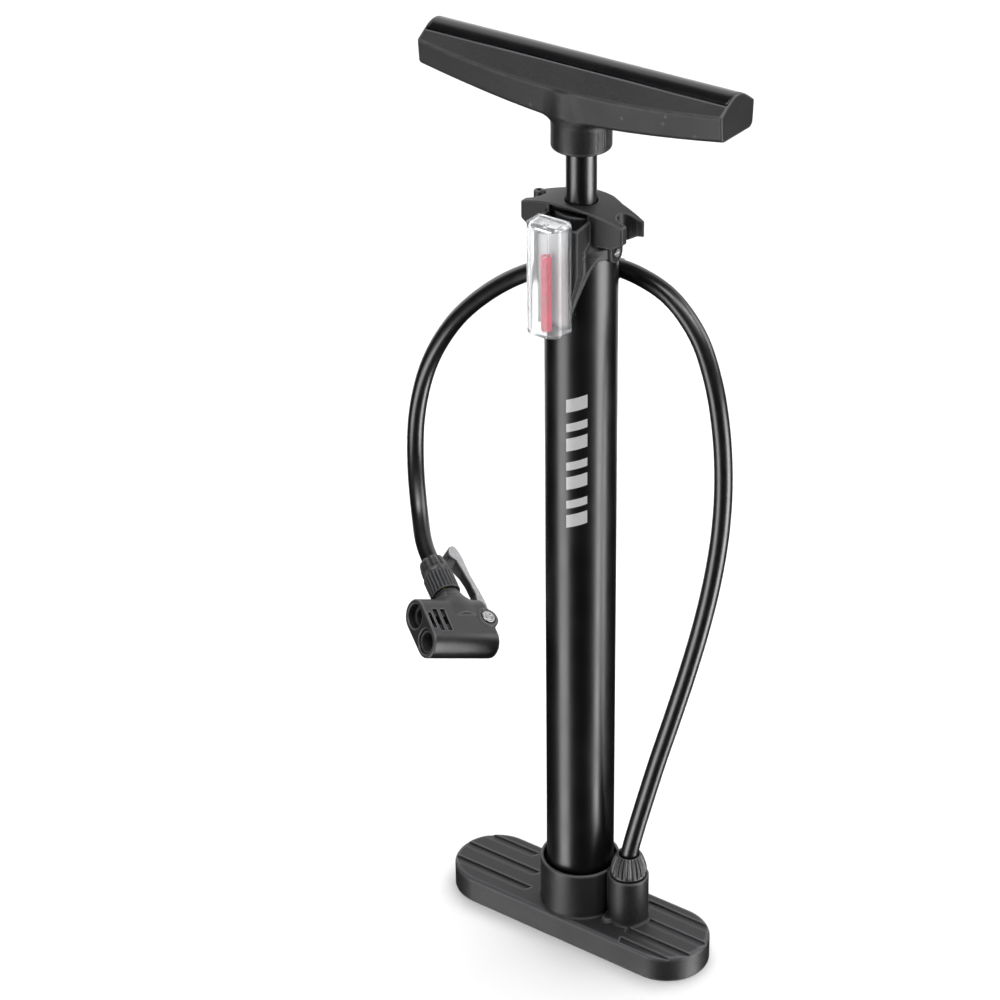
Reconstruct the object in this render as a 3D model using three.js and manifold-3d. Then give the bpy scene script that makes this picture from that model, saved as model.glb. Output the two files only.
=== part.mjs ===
// Floor pump for bicycle tyres: foot plate, barrel, cap with gauge, piston with handle, hose and lever head.
// Millimetres, +Z up. The origin is on the floor, on the barrel's axis. +X runs along the foot towards the
// hose boss, and -Y is the side with the gauge.
import * as THREE from 'three';
import { mergeVertices } from 'three/addons/utils/BufferGeometryUtils.js';
import Module from 'manifold-3d';

const wasm = await Module();
wasm.setup();

// ---- driving dimensions -------------------------------------------------------------------------------

const GAP = 0.3; // clearance between touching pieces

const FOOT = { halfLength: 83.6, halfWidth: 24.5, height: 16, edge: 2.2 };
const TREAD = { width: 5.4, depth: 1.3 };
// Each tread is [side, its steep line's y, distance from the middle at which it starts].
const TREADS = [
  [-1, 18, 42], [-1, 4, 31], [-1, -10.5, 27], [1, 18, 35], [1, 4.3, 45], [1, -9.3, 39], [1, -19, 41],
];
const POCKET = { top: 11.5, inner: 26, wall: 3.2, rib: 2.4, ribs: [34.4, 42.8, 51.2, 59.6] };
const PAD = { x: 68, y: 11.5, radius: 5, recess: 2.2 };
const COLLAR = { radius: 22.6, top: 45.2 };
const BOSS = { x: 33.2, radius: 11.35, top: 45.7, bore: 6 };
const SOCKET_FLOOR = 7;

const BARREL = { radius: 19, bore: 17.5, bottom: 9, top: 428 };
const ROD = { radius: 7.9, bore: 6.8, bottom: 63, top: 505.6 };

const CAP = {
  bottom: 425, flange: 451, plateBottom: 433, plateY: 12, tipY: 9.6, tipX: 31, tipDrop: 5.4,
  radius: 21.2, notchX: 27.5, notchHalf: 4.9, hub: 13.8, hubTop: 446.5, bushBore: 11.5,
};
const GAUGE = {
  halfWidth: 10.5, back: -23.5, front: -37.4, bottom: 388.8, top: 449.6, corner: 7, wall: 1.6, floor: 1.2,
  bevel: 2.8, roof: 3,
};
const BRACKET = { halfWidth: 13.4, wall: 1.7, back: -21.8, lipTop: 449.2 };
const INDICATOR = { y: -30.4, radius: 2.6, bottom: 390.3, top: 431.4, bore: 1.9 };
const TAB_SCREW = { z: 427, radius: 1.2, head: 2.2, headX: 21.3, tabHalf: 5.6, tabDepth: 8, tabFace: 21.8 };
const CLIP = { hoseY: 27, z: 403.4, halfLength: 4 };

const HANDLE = { halfLength: 90.4, bossRadius: 15.45, bossBottom: 479.6, crown: 528 };

const HOSE = { radius: 4.85, bore: 2.6, sides: 8, steps: 42 };
const BARB = { radius: 1.9, bore: 1.1 };

const HEAD = {
  origin: [-71.1, -46, 185.6],
  length: 44, radius: 9.5, lowerRadius: 9.2, portGap: 17.8, glandX: 27.3,
  pinX: 40.8, pinZ: 10, pinHead: 4.1, ear: 6.4,
  slotHalf: 3.5, slotX: 33, slotFloor: 2.8,
};

// The hose's centre line, from inside the foot's nut over the clip behind the barrel and into the head.
const HOSE_ROUTE = [
  [33.2, 0, 48.5], [33.2, 0, 55], [34, 0.1, 62], [37, 0.7, 76], [41, 1.5, 93], [49, 3.3, 126],
  [57.4, 5, 158], [65.4, 6.8, 190], [72.3, 8.4, 221], [77.6, 9.8, 251.5], [80.4, 11.4, 281],
  [80, 13.3, 309], [76, 16, 336], [68.3, 19.5, 360], [56, 23.5, 380.5], [37, 26.3, 396],
  [16, 27, 402.6], [0, 27, 403.4], [-19, 26.9, 400], [-52.5, 29, 385.2], [-88, 37.2, 359.4],
  [-119.6, 45.9, 327.1], [-139.2, 49, 294.2], [-145.8, 46.1, 263.1], [-141.6, 38.3, 236.4],
  [-129.8, 25.6, 215.2], [-116.4, 12.2, 204.6], [-105.9, 5, 198.9], [-98.9, 0.7, 195.4],
  [-93.4, -2.6, 192.7],
];

// ---- solids -------------------------------------------------------------------------------------------

/** Turns a closed three.js geometry into a solid, whichever way round its faces are. */
function solid(geometry) {
  const bare = geometry.clone();
  bare.deleteAttribute('normal');
  bare.deleteAttribute('uv');
  const merged = mergeVertices(bare, 1e-4);
  const vertProperties = new Float32Array(merged.attributes.position.array);
  const triVerts = new Uint32Array(merged.index.array);
  if (signedVolume(vertProperties, triVerts) < 0) {
    for (let i = 0; i < triVerts.length; i += 3) {
      [triVerts[i], triVerts[i + 1]] = [triVerts[i + 1], triVerts[i]];
    }
  }
  return new wasm.Manifold(new wasm.Mesh({ numProp: 3, vertProperties, triVerts }));
}

function signedVolume(points, triangles) {
  const [a, b, c] = [new THREE.Vector3(), new THREE.Vector3(), new THREE.Vector3()];
  let sum = 0;
  for (let i = 0; i < triangles.length; i += 3) {
    a.fromArray(points, 3 * triangles[i]);
    b.fromArray(points, 3 * triangles[i + 1]);
    c.fromArray(points, 3 * triangles[i + 2]);
    sum += a.dot(b.cross(c));
  }
  return sum;
}

function geometryOf(manifold) {
  const { vertProperties, triVerts } = manifold.getMesh();
  const geometry = new THREE.BufferGeometry();
  geometry.setAttribute('position', new THREE.BufferAttribute(new Float32Array(vertProperties), 3));
  geometry.setIndex(new THREE.BufferAttribute(new Uint32Array(triVerts), 1));
  geometry.computeVertexNormals();
  return geometry;
}

const union = (...solids) => solids.reduce((whole, next) => whole.add(next));
const cut = (whole, ...tools) => tools.reduce((rest, tool) => rest.subtract(tool), whole);

function box(x0, x1, y0, y1, z0, z1) {
  const geometry = new THREE.BoxGeometry(x1 - x0, y1 - y0, z1 - z0);
  geometry.translate((x0 + x1) / 2, (y0 + y1) / 2, (z0 + z1) / 2);
  return solid(geometry);
}

/** Solid of revolution about the vertical line through (x, y), from [radius, z] points. */
function turned(profile, segments = 48, x = 0, y = 0) {
  const points = profile.map(([radius, z]) => new THREE.Vector2(radius, z));
  const geometry = new THREE.LatheGeometry(points, segments);
  geometry.rotateX(Math.PI / 2);
  geometry.translate(x, y, 0);
  return solid(geometry);
}

function rod(radius, z0, z1, segments = 48, x = 0, y = 0) {
  return turned([[0, z0], [radius, z0], [radius, z1], [0, z1]], segments, x, y);
}

function ring(outer, inner, z0, z1, segments = 48, x = 0, y = 0) {
  const profile = [[inner, z0], [outer, z0], [outer, z1], [inner, z1], [inner, z0]];
  return turned(profile, segments, x, y);
}

/** Cylinder between two points. */
function bar(from, to, radius, segments = 32) {
  const start = new THREE.Vector3(...from);
  const end = new THREE.Vector3(...to);
  const along = end.clone().sub(start);
  const geometry = new THREE.CylinderGeometry(radius, radius, along.length(), segments);
  const turn = new THREE.Quaternion();
  turn.setFromUnitVectors(new THREE.Vector3(0, 1, 0), along.clone().normalize());
  geometry.applyQuaternion(turn);
  geometry.translate(...start.add(end).multiplyScalar(0.5).toArray());
  return solid(geometry);
}

function shapeOf(points) {
  return new THREE.Shape(points.map(([u, v]) => new THREE.Vector2(u, v)));
}

/** Flat outline in XY, given height from z0 to z1. */
function plate(shape, z0, z1, curveSegments = 12) {
  const geometry = new THREE.ExtrudeGeometry(shape, { depth: z1 - z0, bevelEnabled: false, curveSegments });
  geometry.translate(0, 0, z0);
  return solid(geometry);
}

/** Flat outline in XZ, given depth from y0 to y1. */
function slab(shape, y0, y1, curveSegments = 12) {
  const geometry = new THREE.ExtrudeGeometry(shape, { depth: y1 - y0, bevelEnabled: false, curveSegments });
  geometry.rotateX(Math.PI / 2);
  geometry.translate(0, y1, 0);
  return solid(geometry);
}

/** Closed skin through matching outlines, one per station along X. */
function loft(stations) {
  const flatOf = (outline) => outline.map(([, y, z]) => new THREE.Vector2(y, z));
  const clockwise = THREE.ShapeUtils.isClockWise(flatOf(stations[0]));
  const outlines = clockwise ? stations.map((outline) => [...outline].reverse()) : stations;
  const count = outlines[0].length;
  const positions = outlines.flat(2);
  const index = [];
  for (let station = 0; station + 1 < outlines.length; station += 1) {
    for (let k = 0; k < count; k += 1) {
      const a = station * count + k;
      const b = station * count + ((k + 1) % count);
      index.push(a, b, a + count, b, b + count, a + count);
    }
  }
  const last = (outlines.length - 1) * count;
  for (const [a, b, c] of THREE.ShapeUtils.triangulateShape(flatOf(outlines[0]), [])) {
    index.push(a, c, b, last + a, last + b, last + c);
  }
  const geometry = new THREE.BufferGeometry();
  geometry.setAttribute('position', new THREE.Float32BufferAttribute(positions, 3));
  geometry.setIndex(index);
  return solid(geometry);
}

/** Helical spring about the vertical line through (x, y), its ends turned flat. */
function spring(radius, wire, z0, z1, turns, x = 0, y = 0, sides = 4, perTurn = 8) {
  const points = [];
  const count = turns * perTurn;
  for (let i = 0; i <= count; i += 1) {
    const angle = (2 * Math.PI * i) / perTurn;
    const z = z0 + wire + ((z1 - z0 - 2 * wire) * i) / count;
    points.push(new THREE.Vector3(x + radius * Math.cos(angle), y + radius * Math.sin(angle), z));
  }
  const path = new THREE.CatmullRomCurve3(points);
  const circle = new THREE.Shape();
  circle.absarc(0, 0, wire, 0, 2 * Math.PI, false);
  const options = { steps: count, extrudePath: path, curveSegments: sides / 2, bevelEnabled: false };
  return solid(new THREE.ExtrudeGeometry(circle, options));
}

// ---- finishes -----------------------------------------------------------------------------------------

function finish(color, roughness, metalness = 0, opacity = 1) {
  return new THREE.MeshStandardMaterial({ color, roughness, metalness, opacity, transparent: opacity < 1 });
}

const FINISH = {
  charcoal: finish(0x26272a, 0.6),
  blackPaint: finish(0x0b0b0c, 0.3, 0.2),
  glossBlack: finish(0x070708, 0.12),
  hoseRubber: finish(0x0a0a0a, 0.25),
  rubber: finish(0x141414, 0.8),
  clear: finish(0xf2f5f7, 0.08, 0, 0.35),
  red: finish(0xd8334f, 0.4),
  steel: finish(0xb9bcc0, 0.3, 1),
  brass: finish(0xc39a4a, 0.35, 1),
  silverPlastic: finish(0xb4b6b9, 0.4, 0.3),
  whitePlastic: finish(0xdcdcd8, 0.5),
  felt: finish(0x8d8a80, 0.95),
};

const pump = new THREE.Group();

function add(name, manifold, material, parent = pump) {
  const mesh = new THREE.Mesh(geometryOf(manifold), material);
  mesh.name = name;
  parent.add(mesh);
  return mesh;
}

// ---- foot ---------------------------------------------------------------------------------------------

function stadium(halfLength, halfWidth) {
  const shape = new THREE.Shape();
  const centre = halfLength - halfWidth;
  shape.absarc(centre, 0, halfWidth, -Math.PI / 2, Math.PI / 2, false);
  shape.absarc(-centre, 0, halfWidth, Math.PI / 2, 1.5 * Math.PI, false);
  return shape;
}

function footBlank() {
  const { halfLength, halfWidth, height, edge } = FOOT;
  const rows = [[0.8, 0], [0, 0.8], [0, height - edge], [edge * 0.3, height - edge * 0.3], [edge, height]];
  const layers = rows.map(([inset, z]) => {
    const outline = stadium(halfLength - inset, halfWidth - inset).getPoints(7);
    outline.pop();
    return outline.map((point) => [point.x, point.y, z]);
  });
  return layered(layers);
}

/** Stack of matching horizontal outlines, each convex. */
function layered(layers) {
  const count = layers[0].length;
  const positions = layers.flat(2);
  const index = [];
  for (let row = 0; row + 1 < layers.length; row += 1) {
    for (let k = 0; k < count; k += 1) {
      const a = row * count + k;
      const b = row * count + ((k + 1) % count);
      index.push(a, b, a + count, b, b + count, a + count);
    }
  }
  const last = (layers.length - 1) * count;
  for (let k = 1; k + 1 < count; k += 1) {
    index.push(0, k + 1, k, last, last + k, last + k + 1);
  }
  const geometry = new THREE.BufferGeometry();
  geometry.setAttribute('position', new THREE.Float32BufferAttribute(positions, 3));
  geometry.setIndex(index);
  return solid(geometry);
}

/** Stepped tread: a steep back wall along the line, and a floor that rises towards the front. */
function treadCut([side, line, innerX]) {
  const { width, depth } = TREAD;
  const z = FOOT.height;
  const section = [[line, z + 2], [line, z - depth], [line - width, z], [line - width, z + 2]];
  const slant = 0.45;
  const inner = section.map(([y, height]) => [side * (innerX + (line - y) * slant), y, height]);
  const outer = section.map(([y, height]) => [side * (FOOT.halfLength + 2), y, height]);
  return loft([inner, outer]);
}

function footPocket(side) {
  const { inner, wall, top, rib, ribs } = POCKET;
  const outline = stadium(FOOT.halfLength - wall, FOOT.halfWidth - wall);
  const x0 = side > 0 ? inner + 16 : -FOOT.halfLength;
  const x1 = side > 0 ? FOOT.halfLength : -inner;
  const hollow = plate(outline, -1, top, 6).intersect(box(x0, x1, -30, 30, -1, top));
  const walls = ribs.map((x) => box(side * x - rib / 2, side * x + rib / 2, -30, 30, -2, top + 1));
  const centreRib = box(-90, 90, -rib / 2, rib / 2, -2, top + 1);
  const bosses = [-1, 1].map((s) => rod(PAD.radius + 2.6, -2, top + 1, 16, side * PAD.x, s * PAD.y));
  return cut(hollow, ...walls, centreRib, ...bosses);
}

function footPlate() {
  const { x, radius, top, bore } = BOSS;
  const post = (foot, outer, height, edge) => [
    [0, 10], [foot, 10], [outer, 22], [outer, height - edge], [outer - edge, height], [0, height],
  ];
  const collar = turned(post(COLLAR.radius + 0.5, COLLAR.radius, COLLAR.top, 0.7), 36);
  const boss = turned(post(radius + 0.3, radius, top, 0.5), 24, x);
  const body = union(footBlank(), collar, boss);
  const socketRadius = BARREL.radius + GAP;
  const socketProfile = [
    [0, SOCKET_FLOOR], [socketRadius, SOCKET_FLOOR], [socketRadius, 41], [20.2, 42.4], [20.9, 46], [0, 46],
  ];
  const barrelSocket = turned(socketProfile, 36);
  const valveBore = turned([[0, 3], [3, 3], [3, 20], [bore, 20], [bore, 46], [0, 46]], 24, x);
  const airDrop = rod(2, 4, SOCKET_FLOOR + 1, 16, 8);
  const airChannel = bar([8, 0, 4.4], [x, 0, 4.4], 1.8, 16);
  const nearBoss = rod(BOSS.radius + 2, 10, 20, 24, x);
  const treads = TREADS.map((tread) => cut(treadCut(tread), nearBoss));
  const padHoles = padPlaces().map(([px, py]) => rod(PAD.radius + GAP, -1, PAD.recess, 16, px, py));
  const pockets = [footPocket(-1), footPocket(1)];
  return cut(body, barrelSocket, valveBore, airDrop, airChannel, ...treads, ...pockets, ...padHoles);
}

function padPlaces() {
  const places = [];
  for (const sideX of [-1, 1]) {
    for (const sideY of [-1, 1]) {
      places.push([sideX * PAD.x, sideY * PAD.y]);
    }
  }
  return places;
}

add('foot_plate', footPlate(), FINISH.charcoal);
padPlaces().forEach(([x, y], i) => {
  const pad = turned([[0, 0], [4.2, 0], [PAD.radius, 0.6], [PAD.radius, 1.9], [0, 1.9]], 16, x, y);
  add(`rubber_foot_${i + 1}`, pad, FINISH.rubber);
});

// ---- barrel and check valve ---------------------------------------------------------------------------

add('barrel_tube', ring(BARREL.radius, BARREL.bore, BARREL.bottom, BARREL.top, 48), FINISH.blackPaint);
add('barrel_gasket', ring(19, 17.2, SOCKET_FLOOR + GAP, BARREL.bottom - GAP, 24), FINISH.rubber);

const BALL = { radius: 4.2, z: 23.4 };

function ball(radius, x, y, z) {
  const geometry = new THREE.SphereGeometry(radius, 14, 8);
  geometry.translate(x, y, z);
  return solid(geometry);
}

add('check_ball', ball(BALL.radius, BOSS.x, 0, BALL.z), FINISH.steel);
add('check_spring', spring(3.4, 0.35, 27.0, 37.8, 4, BOSS.x, 0), FINISH.steel);

function baseSpigot() {
  const profile = [
    [BARB.bore, 38.2], [5.6, 38.2], [5.6, 47.2], [BARB.radius, 47.2], [BARB.radius, 53], [BARB.bore, 53],
    [BARB.bore, 38.2],
  ];
  return turned(profile, 16, BOSS.x);
}

function baseNut() {
  const outside = [[0, 46.1], [10.1, 46.1], [10.2, 50.5], [8.6, 56], [6.9, 59.4], [0, 59.4]];
  const inside = [[0, 45], [6, 45], [6, 47.5], [5.4, 48.2], [5.8, 56], [6.2, 60.5], [0, 60.5]];
  const bore = turned(inside, 16, BOSS.x);
  const blank = turned(outside, 24, BOSS.x);
  const grooves = [];
  const flutes = 12;
  for (let i = 0; i < flutes; i += 1) {
    const angle = (2 * Math.PI * (i + 0.5)) / flutes;
    const at = (radius, z) => [BOSS.x + radius * Math.cos(angle), radius * Math.sin(angle), z];
    grooves.push(bar(at(10.9, 45.5), at(8.2, 58.4), 1.2, 4));
  }
  return cut(blank, ...grooves, bore);
}

add('base_spigot', baseSpigot(), FINISH.brass);
add('base_hose_nut', baseNut(), FINISH.charcoal);

// ---- hose ---------------------------------------------------------------------------------------------

function hose() {
  const points = HOSE_ROUTE.map((point) => new THREE.Vector3(...point));
  const path = new THREE.CatmullRomCurve3(points, false, 'centripetal');
  const outline = new THREE.Shape();
  outline.absarc(0, 0, HOSE.radius, 0, 2 * Math.PI, false);
  const bore = new THREE.Path();
  bore.absarc(0, 0, HOSE.bore, 0, 2 * Math.PI, true);
  outline.holes.push(bore);
  const curveSegments = HOSE.sides / 2;
  const options = { steps: HOSE.steps, extrudePath: path, curveSegments, bevelEnabled: false };
  return solid(new THREE.ExtrudeGeometry(outline, options));
}

add('hose', hose(), FINISH.hoseRubber);

// ---- cap ----------------------------------------------------------------------------------------------

/** Top view of the flange: a hub round the rod, and two pairs of arms with a hose notch between them. */
function flangePlan() {
  const { plateY, tipY, tipX, notchX, notchHalf } = CAP;
  const notch = [];
  for (let i = 0; i <= 6; i += 1) {
    const angle = Math.PI * (1.5 - i / 6);
    notch.push([notchX + notchHalf * Math.cos(angle), notchHalf * Math.sin(angle)]);
  }
  const side = [
    [9, -plateY], [tipX, -tipY], [tipX, -notchHalf], ...notch, [tipX, notchHalf],
    [33.6, 6.2], [32.6, 7.4], [28.5, 8.3], [22.4, 9.7], [18, 10.6], [14.8, 12.1], [10.6, 13.8], [5, 14.4],
  ];
  const mirrored = side.map(([x, y]) => [-x, y]).reverse();
  return shapeOf([...side, [0, 14.4], ...mirrored]);
}

/** Front view of the flange: the top falls away towards both ends, and the skirt is shorter at the tips. */
function flangeFront() {
  const top = [];
  for (let i = -8; i <= 8; i += 1) {
    const x = (i / 8) * 36;
    top.push([x, CAP.flange - CAP.tipDrop * (x / CAP.tipX) ** 2]);
  }
  const bottom = [[36, 436.2], [30.5, 436.2], [25, CAP.plateBottom]];
  const mirrored = bottom.map(([x, z]) => [-x, z]).reverse();
  return shapeOf([...top, ...bottom, ...mirrored]);
}

/** Tongue on the cap's front that carries the gauge down the barrel, narrowing downwards. */
function gaugeTongue() {
  const outline = shapeOf([[-19, 428], [-15, 420], [-5, 388], [5, 388], [15, 420], [19, 428]]);
  const band = slab(outline, -24, 0);
  return band.intersect(rod(CAP.radius, 380, 430, 48));
}

/** Space between the gauge's back plate and the hub, open at the top and running in under the flange. */
function bracketPocket() {
  const half = BRACKET.halfWidth - BRACKET.wall;
  return box(-half, half, BRACKET.back, -9, 425, BRACKET.lipTop);
}

/** Back plate behind the gauge, with a side wall from each edge back to the flange. */
function gaugeBracket() {
  const half = BRACKET.halfWidth;
  const outline = [[-half, 447], [-half, 419.5], [-5, 388], [5, 388], [half, 419.5], [half, 447]];
  const block = slab(shapeOf(outline), GAUGE.back + GAP, -9);
  const section = (x) => [[x, -24, 444.3], [x, -8, 446.3], [x, -8, 455], [x, -24, 455]];
  const aboveWalls = loft([section(-half - 2), section(half + 2)]);
  return cut(block, aboveWalls, bracketPocket());
}

function screwTab(side) {
  const { z, tabHalf, tabDepth, tabFace } = TAB_SCREW;
  const shape = new THREE.Shape();
  shape.moveTo(-tabHalf, 432);
  shape.lineTo(-tabHalf, z);
  shape.absarc(0, z, tabHalf, Math.PI, 2 * Math.PI, false);
  shape.lineTo(tabHalf, 432);
  const options = { depth: tabDepth, bevelEnabled: false, curveSegments: 8 };
  const geometry = new THREE.ExtrudeGeometry(shape, options);
  geometry.rotateX(Math.PI / 2);
  geometry.rotateZ(Math.PI / 2);
  geometry.translate(side > 0 ? tabFace - tabDepth : -tabFace, 0, 0);
  return solid(geometry);
}

/** Saddle behind the barrel, hung from the cap, in which the hose rests. */
function hoseSaddle() {
  const { hoseY, z, halfLength } = CLIP;
  const bore = HOSE.radius + 0.8;
  const outer = bore + 1.9;
  const cup = bar([-halfLength, hoseY, z], [halfLength, hoseY, z], outer, 32);
  const cupSpace = box(-halfLength, halfLength, hoseY - outer, hoseY + outer, z - outer, z + 2.4);
  const lower = cup.intersect(cupSpace);
  const hanger = box(-halfLength, halfLength, 15, hoseY - bore + 0.4, z - 3, 430);
  const solidPart = union(lower, hanger);
  return cut(solidPart, bar([-10, hoseY, z], [10, hoseY, z], bore, 32),
    box(-10, 10, hoseY - bore, hoseY + bore, z, z + 12));
}

function topCap() {
  const { radius, bottom, hub, hubTop, bushBore } = CAP;
  const flange = plate(flangePlan(), 430, 455).intersect(slab(flangeFront(), -20, 20));
  const sleeve = turned([[0, bottom], [radius, bottom], [radius, 430.5], [15, 437], [0, 437]], 48);
  const shell = union(cut(flange, bracketPocket()), sleeve, rod(hub, 430, hubTop, 40));
  const body = union(shell, gaugeTongue(), gaugeBracket(), screwTab(1), screwTab(-1), hoseSaddle());
  const barrelBore = rod(BARREL.radius + GAP, 370, BARREL.top + 1.6, 48);
  const bushSeat = rod(bushBore, 420, 441, 32);
  const rodHole = rod(ROD.radius + 0.4, 430, 460, 32);
  const { z, radius: screwRadius, head, headX } = TAB_SCREW;
  const screwHoles = bar([-30, 0, z], [30, 0, z], screwRadius + GAP, 12);
  const headSeat = (side) => bar([side * (headX - GAP), 0, z], [side * 30, 0, z], head + GAP, 16);
  return cut(body, barrelBore, bushSeat, rodHole, screwHoles, headSeat(-1), headSeat(1));
}

add('top_cap', topCap(), FINISH.charcoal);
add('cap_gasket', ring(18.9, 13.2, BARREL.top + GAP, BARREL.top + 1.3, 24), FINISH.rubber);

const bushRadius = CAP.bushBore - GAP;
add('rod_bush', ring(bushRadius, ROD.radius + 0.3, 427, 436, 24), FINISH.whitePlastic);
add('rod_wiper', ring(bushRadius - 0.1, ROD.radius + 0.3, 436.3, 440.6, 24), FINISH.felt);

function capScrew(side) {
  const { z, radius, head, headX } = TAB_SCREW;
  const shank = bar([side * 19.5, 0, z], [side * headX, 0, z], radius, 12);
  const cap = bar([side * headX, 0, z], [side * (headX + 1), 0, z], head, 16);
  const slotEnds = [side * (headX + 0.5), side * (headX + 2)].sort((a, b) => a - b);
  const slot = box(...slotEnds, -3, 3, z - 0.35, z + 0.35);
  return cut(union(shank, cap), slot);
}

add('cap_screw_right', capScrew(1), FINISH.steel);
add('cap_screw_left', capScrew(-1), FINISH.steel);

// ---- gauge --------------------------------------------------------------------------------------------

function gaugeOutline(inset) {
  const { halfWidth, back, front, corner } = GAUGE;
  const radius = corner - inset;
  const shape = new THREE.Shape();
  shape.moveTo(halfWidth - inset, back);
  shape.lineTo(-halfWidth + inset, back);
  shape.lineTo(-halfWidth + inset, front + corner);
  shape.absarc(-halfWidth + corner, front + corner, radius, Math.PI, 1.5 * Math.PI, false);
  shape.absarc(halfWidth - corner, front + corner, radius, 1.5 * Math.PI, 2 * Math.PI, false);
  return shape;
}

function gaugeCover() {
  const { halfWidth, back, bottom, top, wall, floor, bevel } = GAUGE;
  const roof = top - GAUGE.roof;
  const rows = [[0.6, bottom], [0, bottom + 0.8], [0, top - bevel], [2.4, top]];
  const layers = rows.map(([inset, z]) => {
    const outline = gaugeOutline(inset).getPoints(8);
    outline.pop();
    return outline.map((point) => [point.x, point.y, z]);
  });
  const inside = gaugeOutline(wall).getPoints(8);
  inside.pop();
  const hollowOutline = shapeOf(inside.map((point) => [point.x, point.y + 0.01]));
  const hollow = plate(hollowOutline, bottom + floor, roof);
  const shell = cut(layered(layers), hollow);
  const open = box(-halfWidth + wall, halfWidth - wall, back - 1, back + 2, bottom + floor, roof);
  const stem = rod(1.3, INDICATOR.top + 1.2, top - 1.2, 16, 0, INDICATOR.y);
  return union(cut(shell, open), stem);
}

/** Backing plate that closes the cover behind the indicator. */
function gaugeLiner() {
  const half = GAUGE.halfWidth - GAUGE.wall - GAP;
  const [bottom, top] = [GAUGE.bottom + GAUGE.floor + 0.5, GAUGE.top - GAUGE.roof - GAP];
  return box(-half, half, GAUGE.back - 1.4, GAUGE.back - 0.4, bottom, top);
}

add('gauge_cover', gaugeCover(), FINISH.clear);
add('gauge_liner', gaugeLiner(), FINISH.whitePlastic);

const indicatorProfile = [
  [0, INDICATOR.bottom], [INDICATOR.radius - 0.5, INDICATOR.bottom],
  [INDICATOR.radius, INDICATOR.bottom + 0.7], [INDICATOR.radius, INDICATOR.top],
  [INDICATOR.bore, INDICATOR.top], [INDICATOR.bore, 400], [0, 400],
];
add('gauge_indicator', turned(indicatorProfile, 24, 0, INDICATOR.y), FINISH.red);
add('gauge_spring', spring(1.3, 0.25, 400.3, 432.2, 9, 0, INDICATOR.y, 4, 7), FINISH.steel);

// ---- piston -------------------------------------------------------------------------------------------

function pistonBody() {
  const profile = [
    [2.8, 46], [16.8, 46], [16.8, 49.6], [14.6, 49.6], [14.6, 55.4], [16.8, 55.4], [16.8, 62], [15.8, 62.6],
    [6.5, 62.6], [6.5, 74], [2.8, 74], [2.8, 46],
  ];
  return turned(profile, 24);
}

const cupProfile = [[14.9, 49.9], [16.2, 49.9], [17.2, 51.4], [17.2, 55.1], [14.9, 55.1], [14.9, 49.9]];
add('piston_body', pistonBody(), FINISH.whitePlastic);
add('piston_cup', turned(cupProfile, 28), FINISH.rubber);
add('piston_washer', ring(10, 2.8, 44.4, 45.7, 24), FINISH.steel);
const pistonScrewProfile = [[0, 40.4], [4.4, 40.4], [4.8, 41], [4.8, 44.1], [2.5, 44.1], [2.5, 72], [0, 72]];
add('piston_screw', turned(pistonScrewProfile, 16), FINISH.steel);
add('piston_rod', ring(ROD.radius, ROD.bore, ROD.bottom, ROD.top, 32), FINISH.glossBlack);
const bumperProfile = [[8.2, 62.9], [12, 62.9], [12.6, 65], [12, 69], [8.2, 69], [8.2, 62.9]];
add('rod_bumper', turned(bumperProfile, 24), FINISH.rubber);

// ---- handle -------------------------------------------------------------------------------------------

const STRIP = { halfWidth: 8.2, bottom: 522.1, side: 525, endInset: 1.2 };

/** Half section of the grip at distance x from its middle: the crease bulges and the belly hangs lower. */
function gripSection(x) {
  const t = Math.abs(x) / HANDLE.halfLength;
  const bulge = 1 - t * t;
  const belly = 1 - t ** 1.5;
  const crease = [14.7 + 3.3 * bulge, 520.6 - 5.9 * bulge];
  const bottom = [12.8 + 1.4 * belly, 507 - 10 * belly];
  const edge = STRIP.halfWidth + GAP;
  return [[edge, STRIP.bottom - GAP], [edge, STRIP.side - 0.3], crease, [bottom[0] + 0.7, bottom[1] + 1.4],
    [bottom[0] - 1.6, bottom[1]]];
}

function gripStations(endInset) {
  const stations = [];
  const half = 8;
  for (let i = -half; i <= half; i += 1) {
    stations.push((i / half) * (HANDLE.halfLength - endInset));
  }
  return stations;
}

/** The strip's crown from front to rear as [y, z] points. */
function crownLine() {
  const steps = 6;
  const line = [];
  for (let i = 0; i <= steps; i += 1) {
    const u = -1 + (2 * i) / steps;
    line.push([u * STRIP.halfWidth, STRIP.side + (HANDLE.crown - STRIP.side) * (1 - u * u)]);
  }
  return line;
}

/** Wall that closes each end of the strip's channel, with the strip's own crown. */
function endWall(side) {
  const outer = HANDLE.halfLength;
  const inner = outer - STRIP.endInset + GAP;
  const outline = [[9.2, 519], [-9.2, 519], [-9.2, 524], ...crownLine(), [9.2, 524]];
  const ends = side > 0 ? [inner, outer] : [-outer, -inner];
  return loft(ends.map((x) => outline.map(([y, z]) => [x, y, z])));
}

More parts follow.
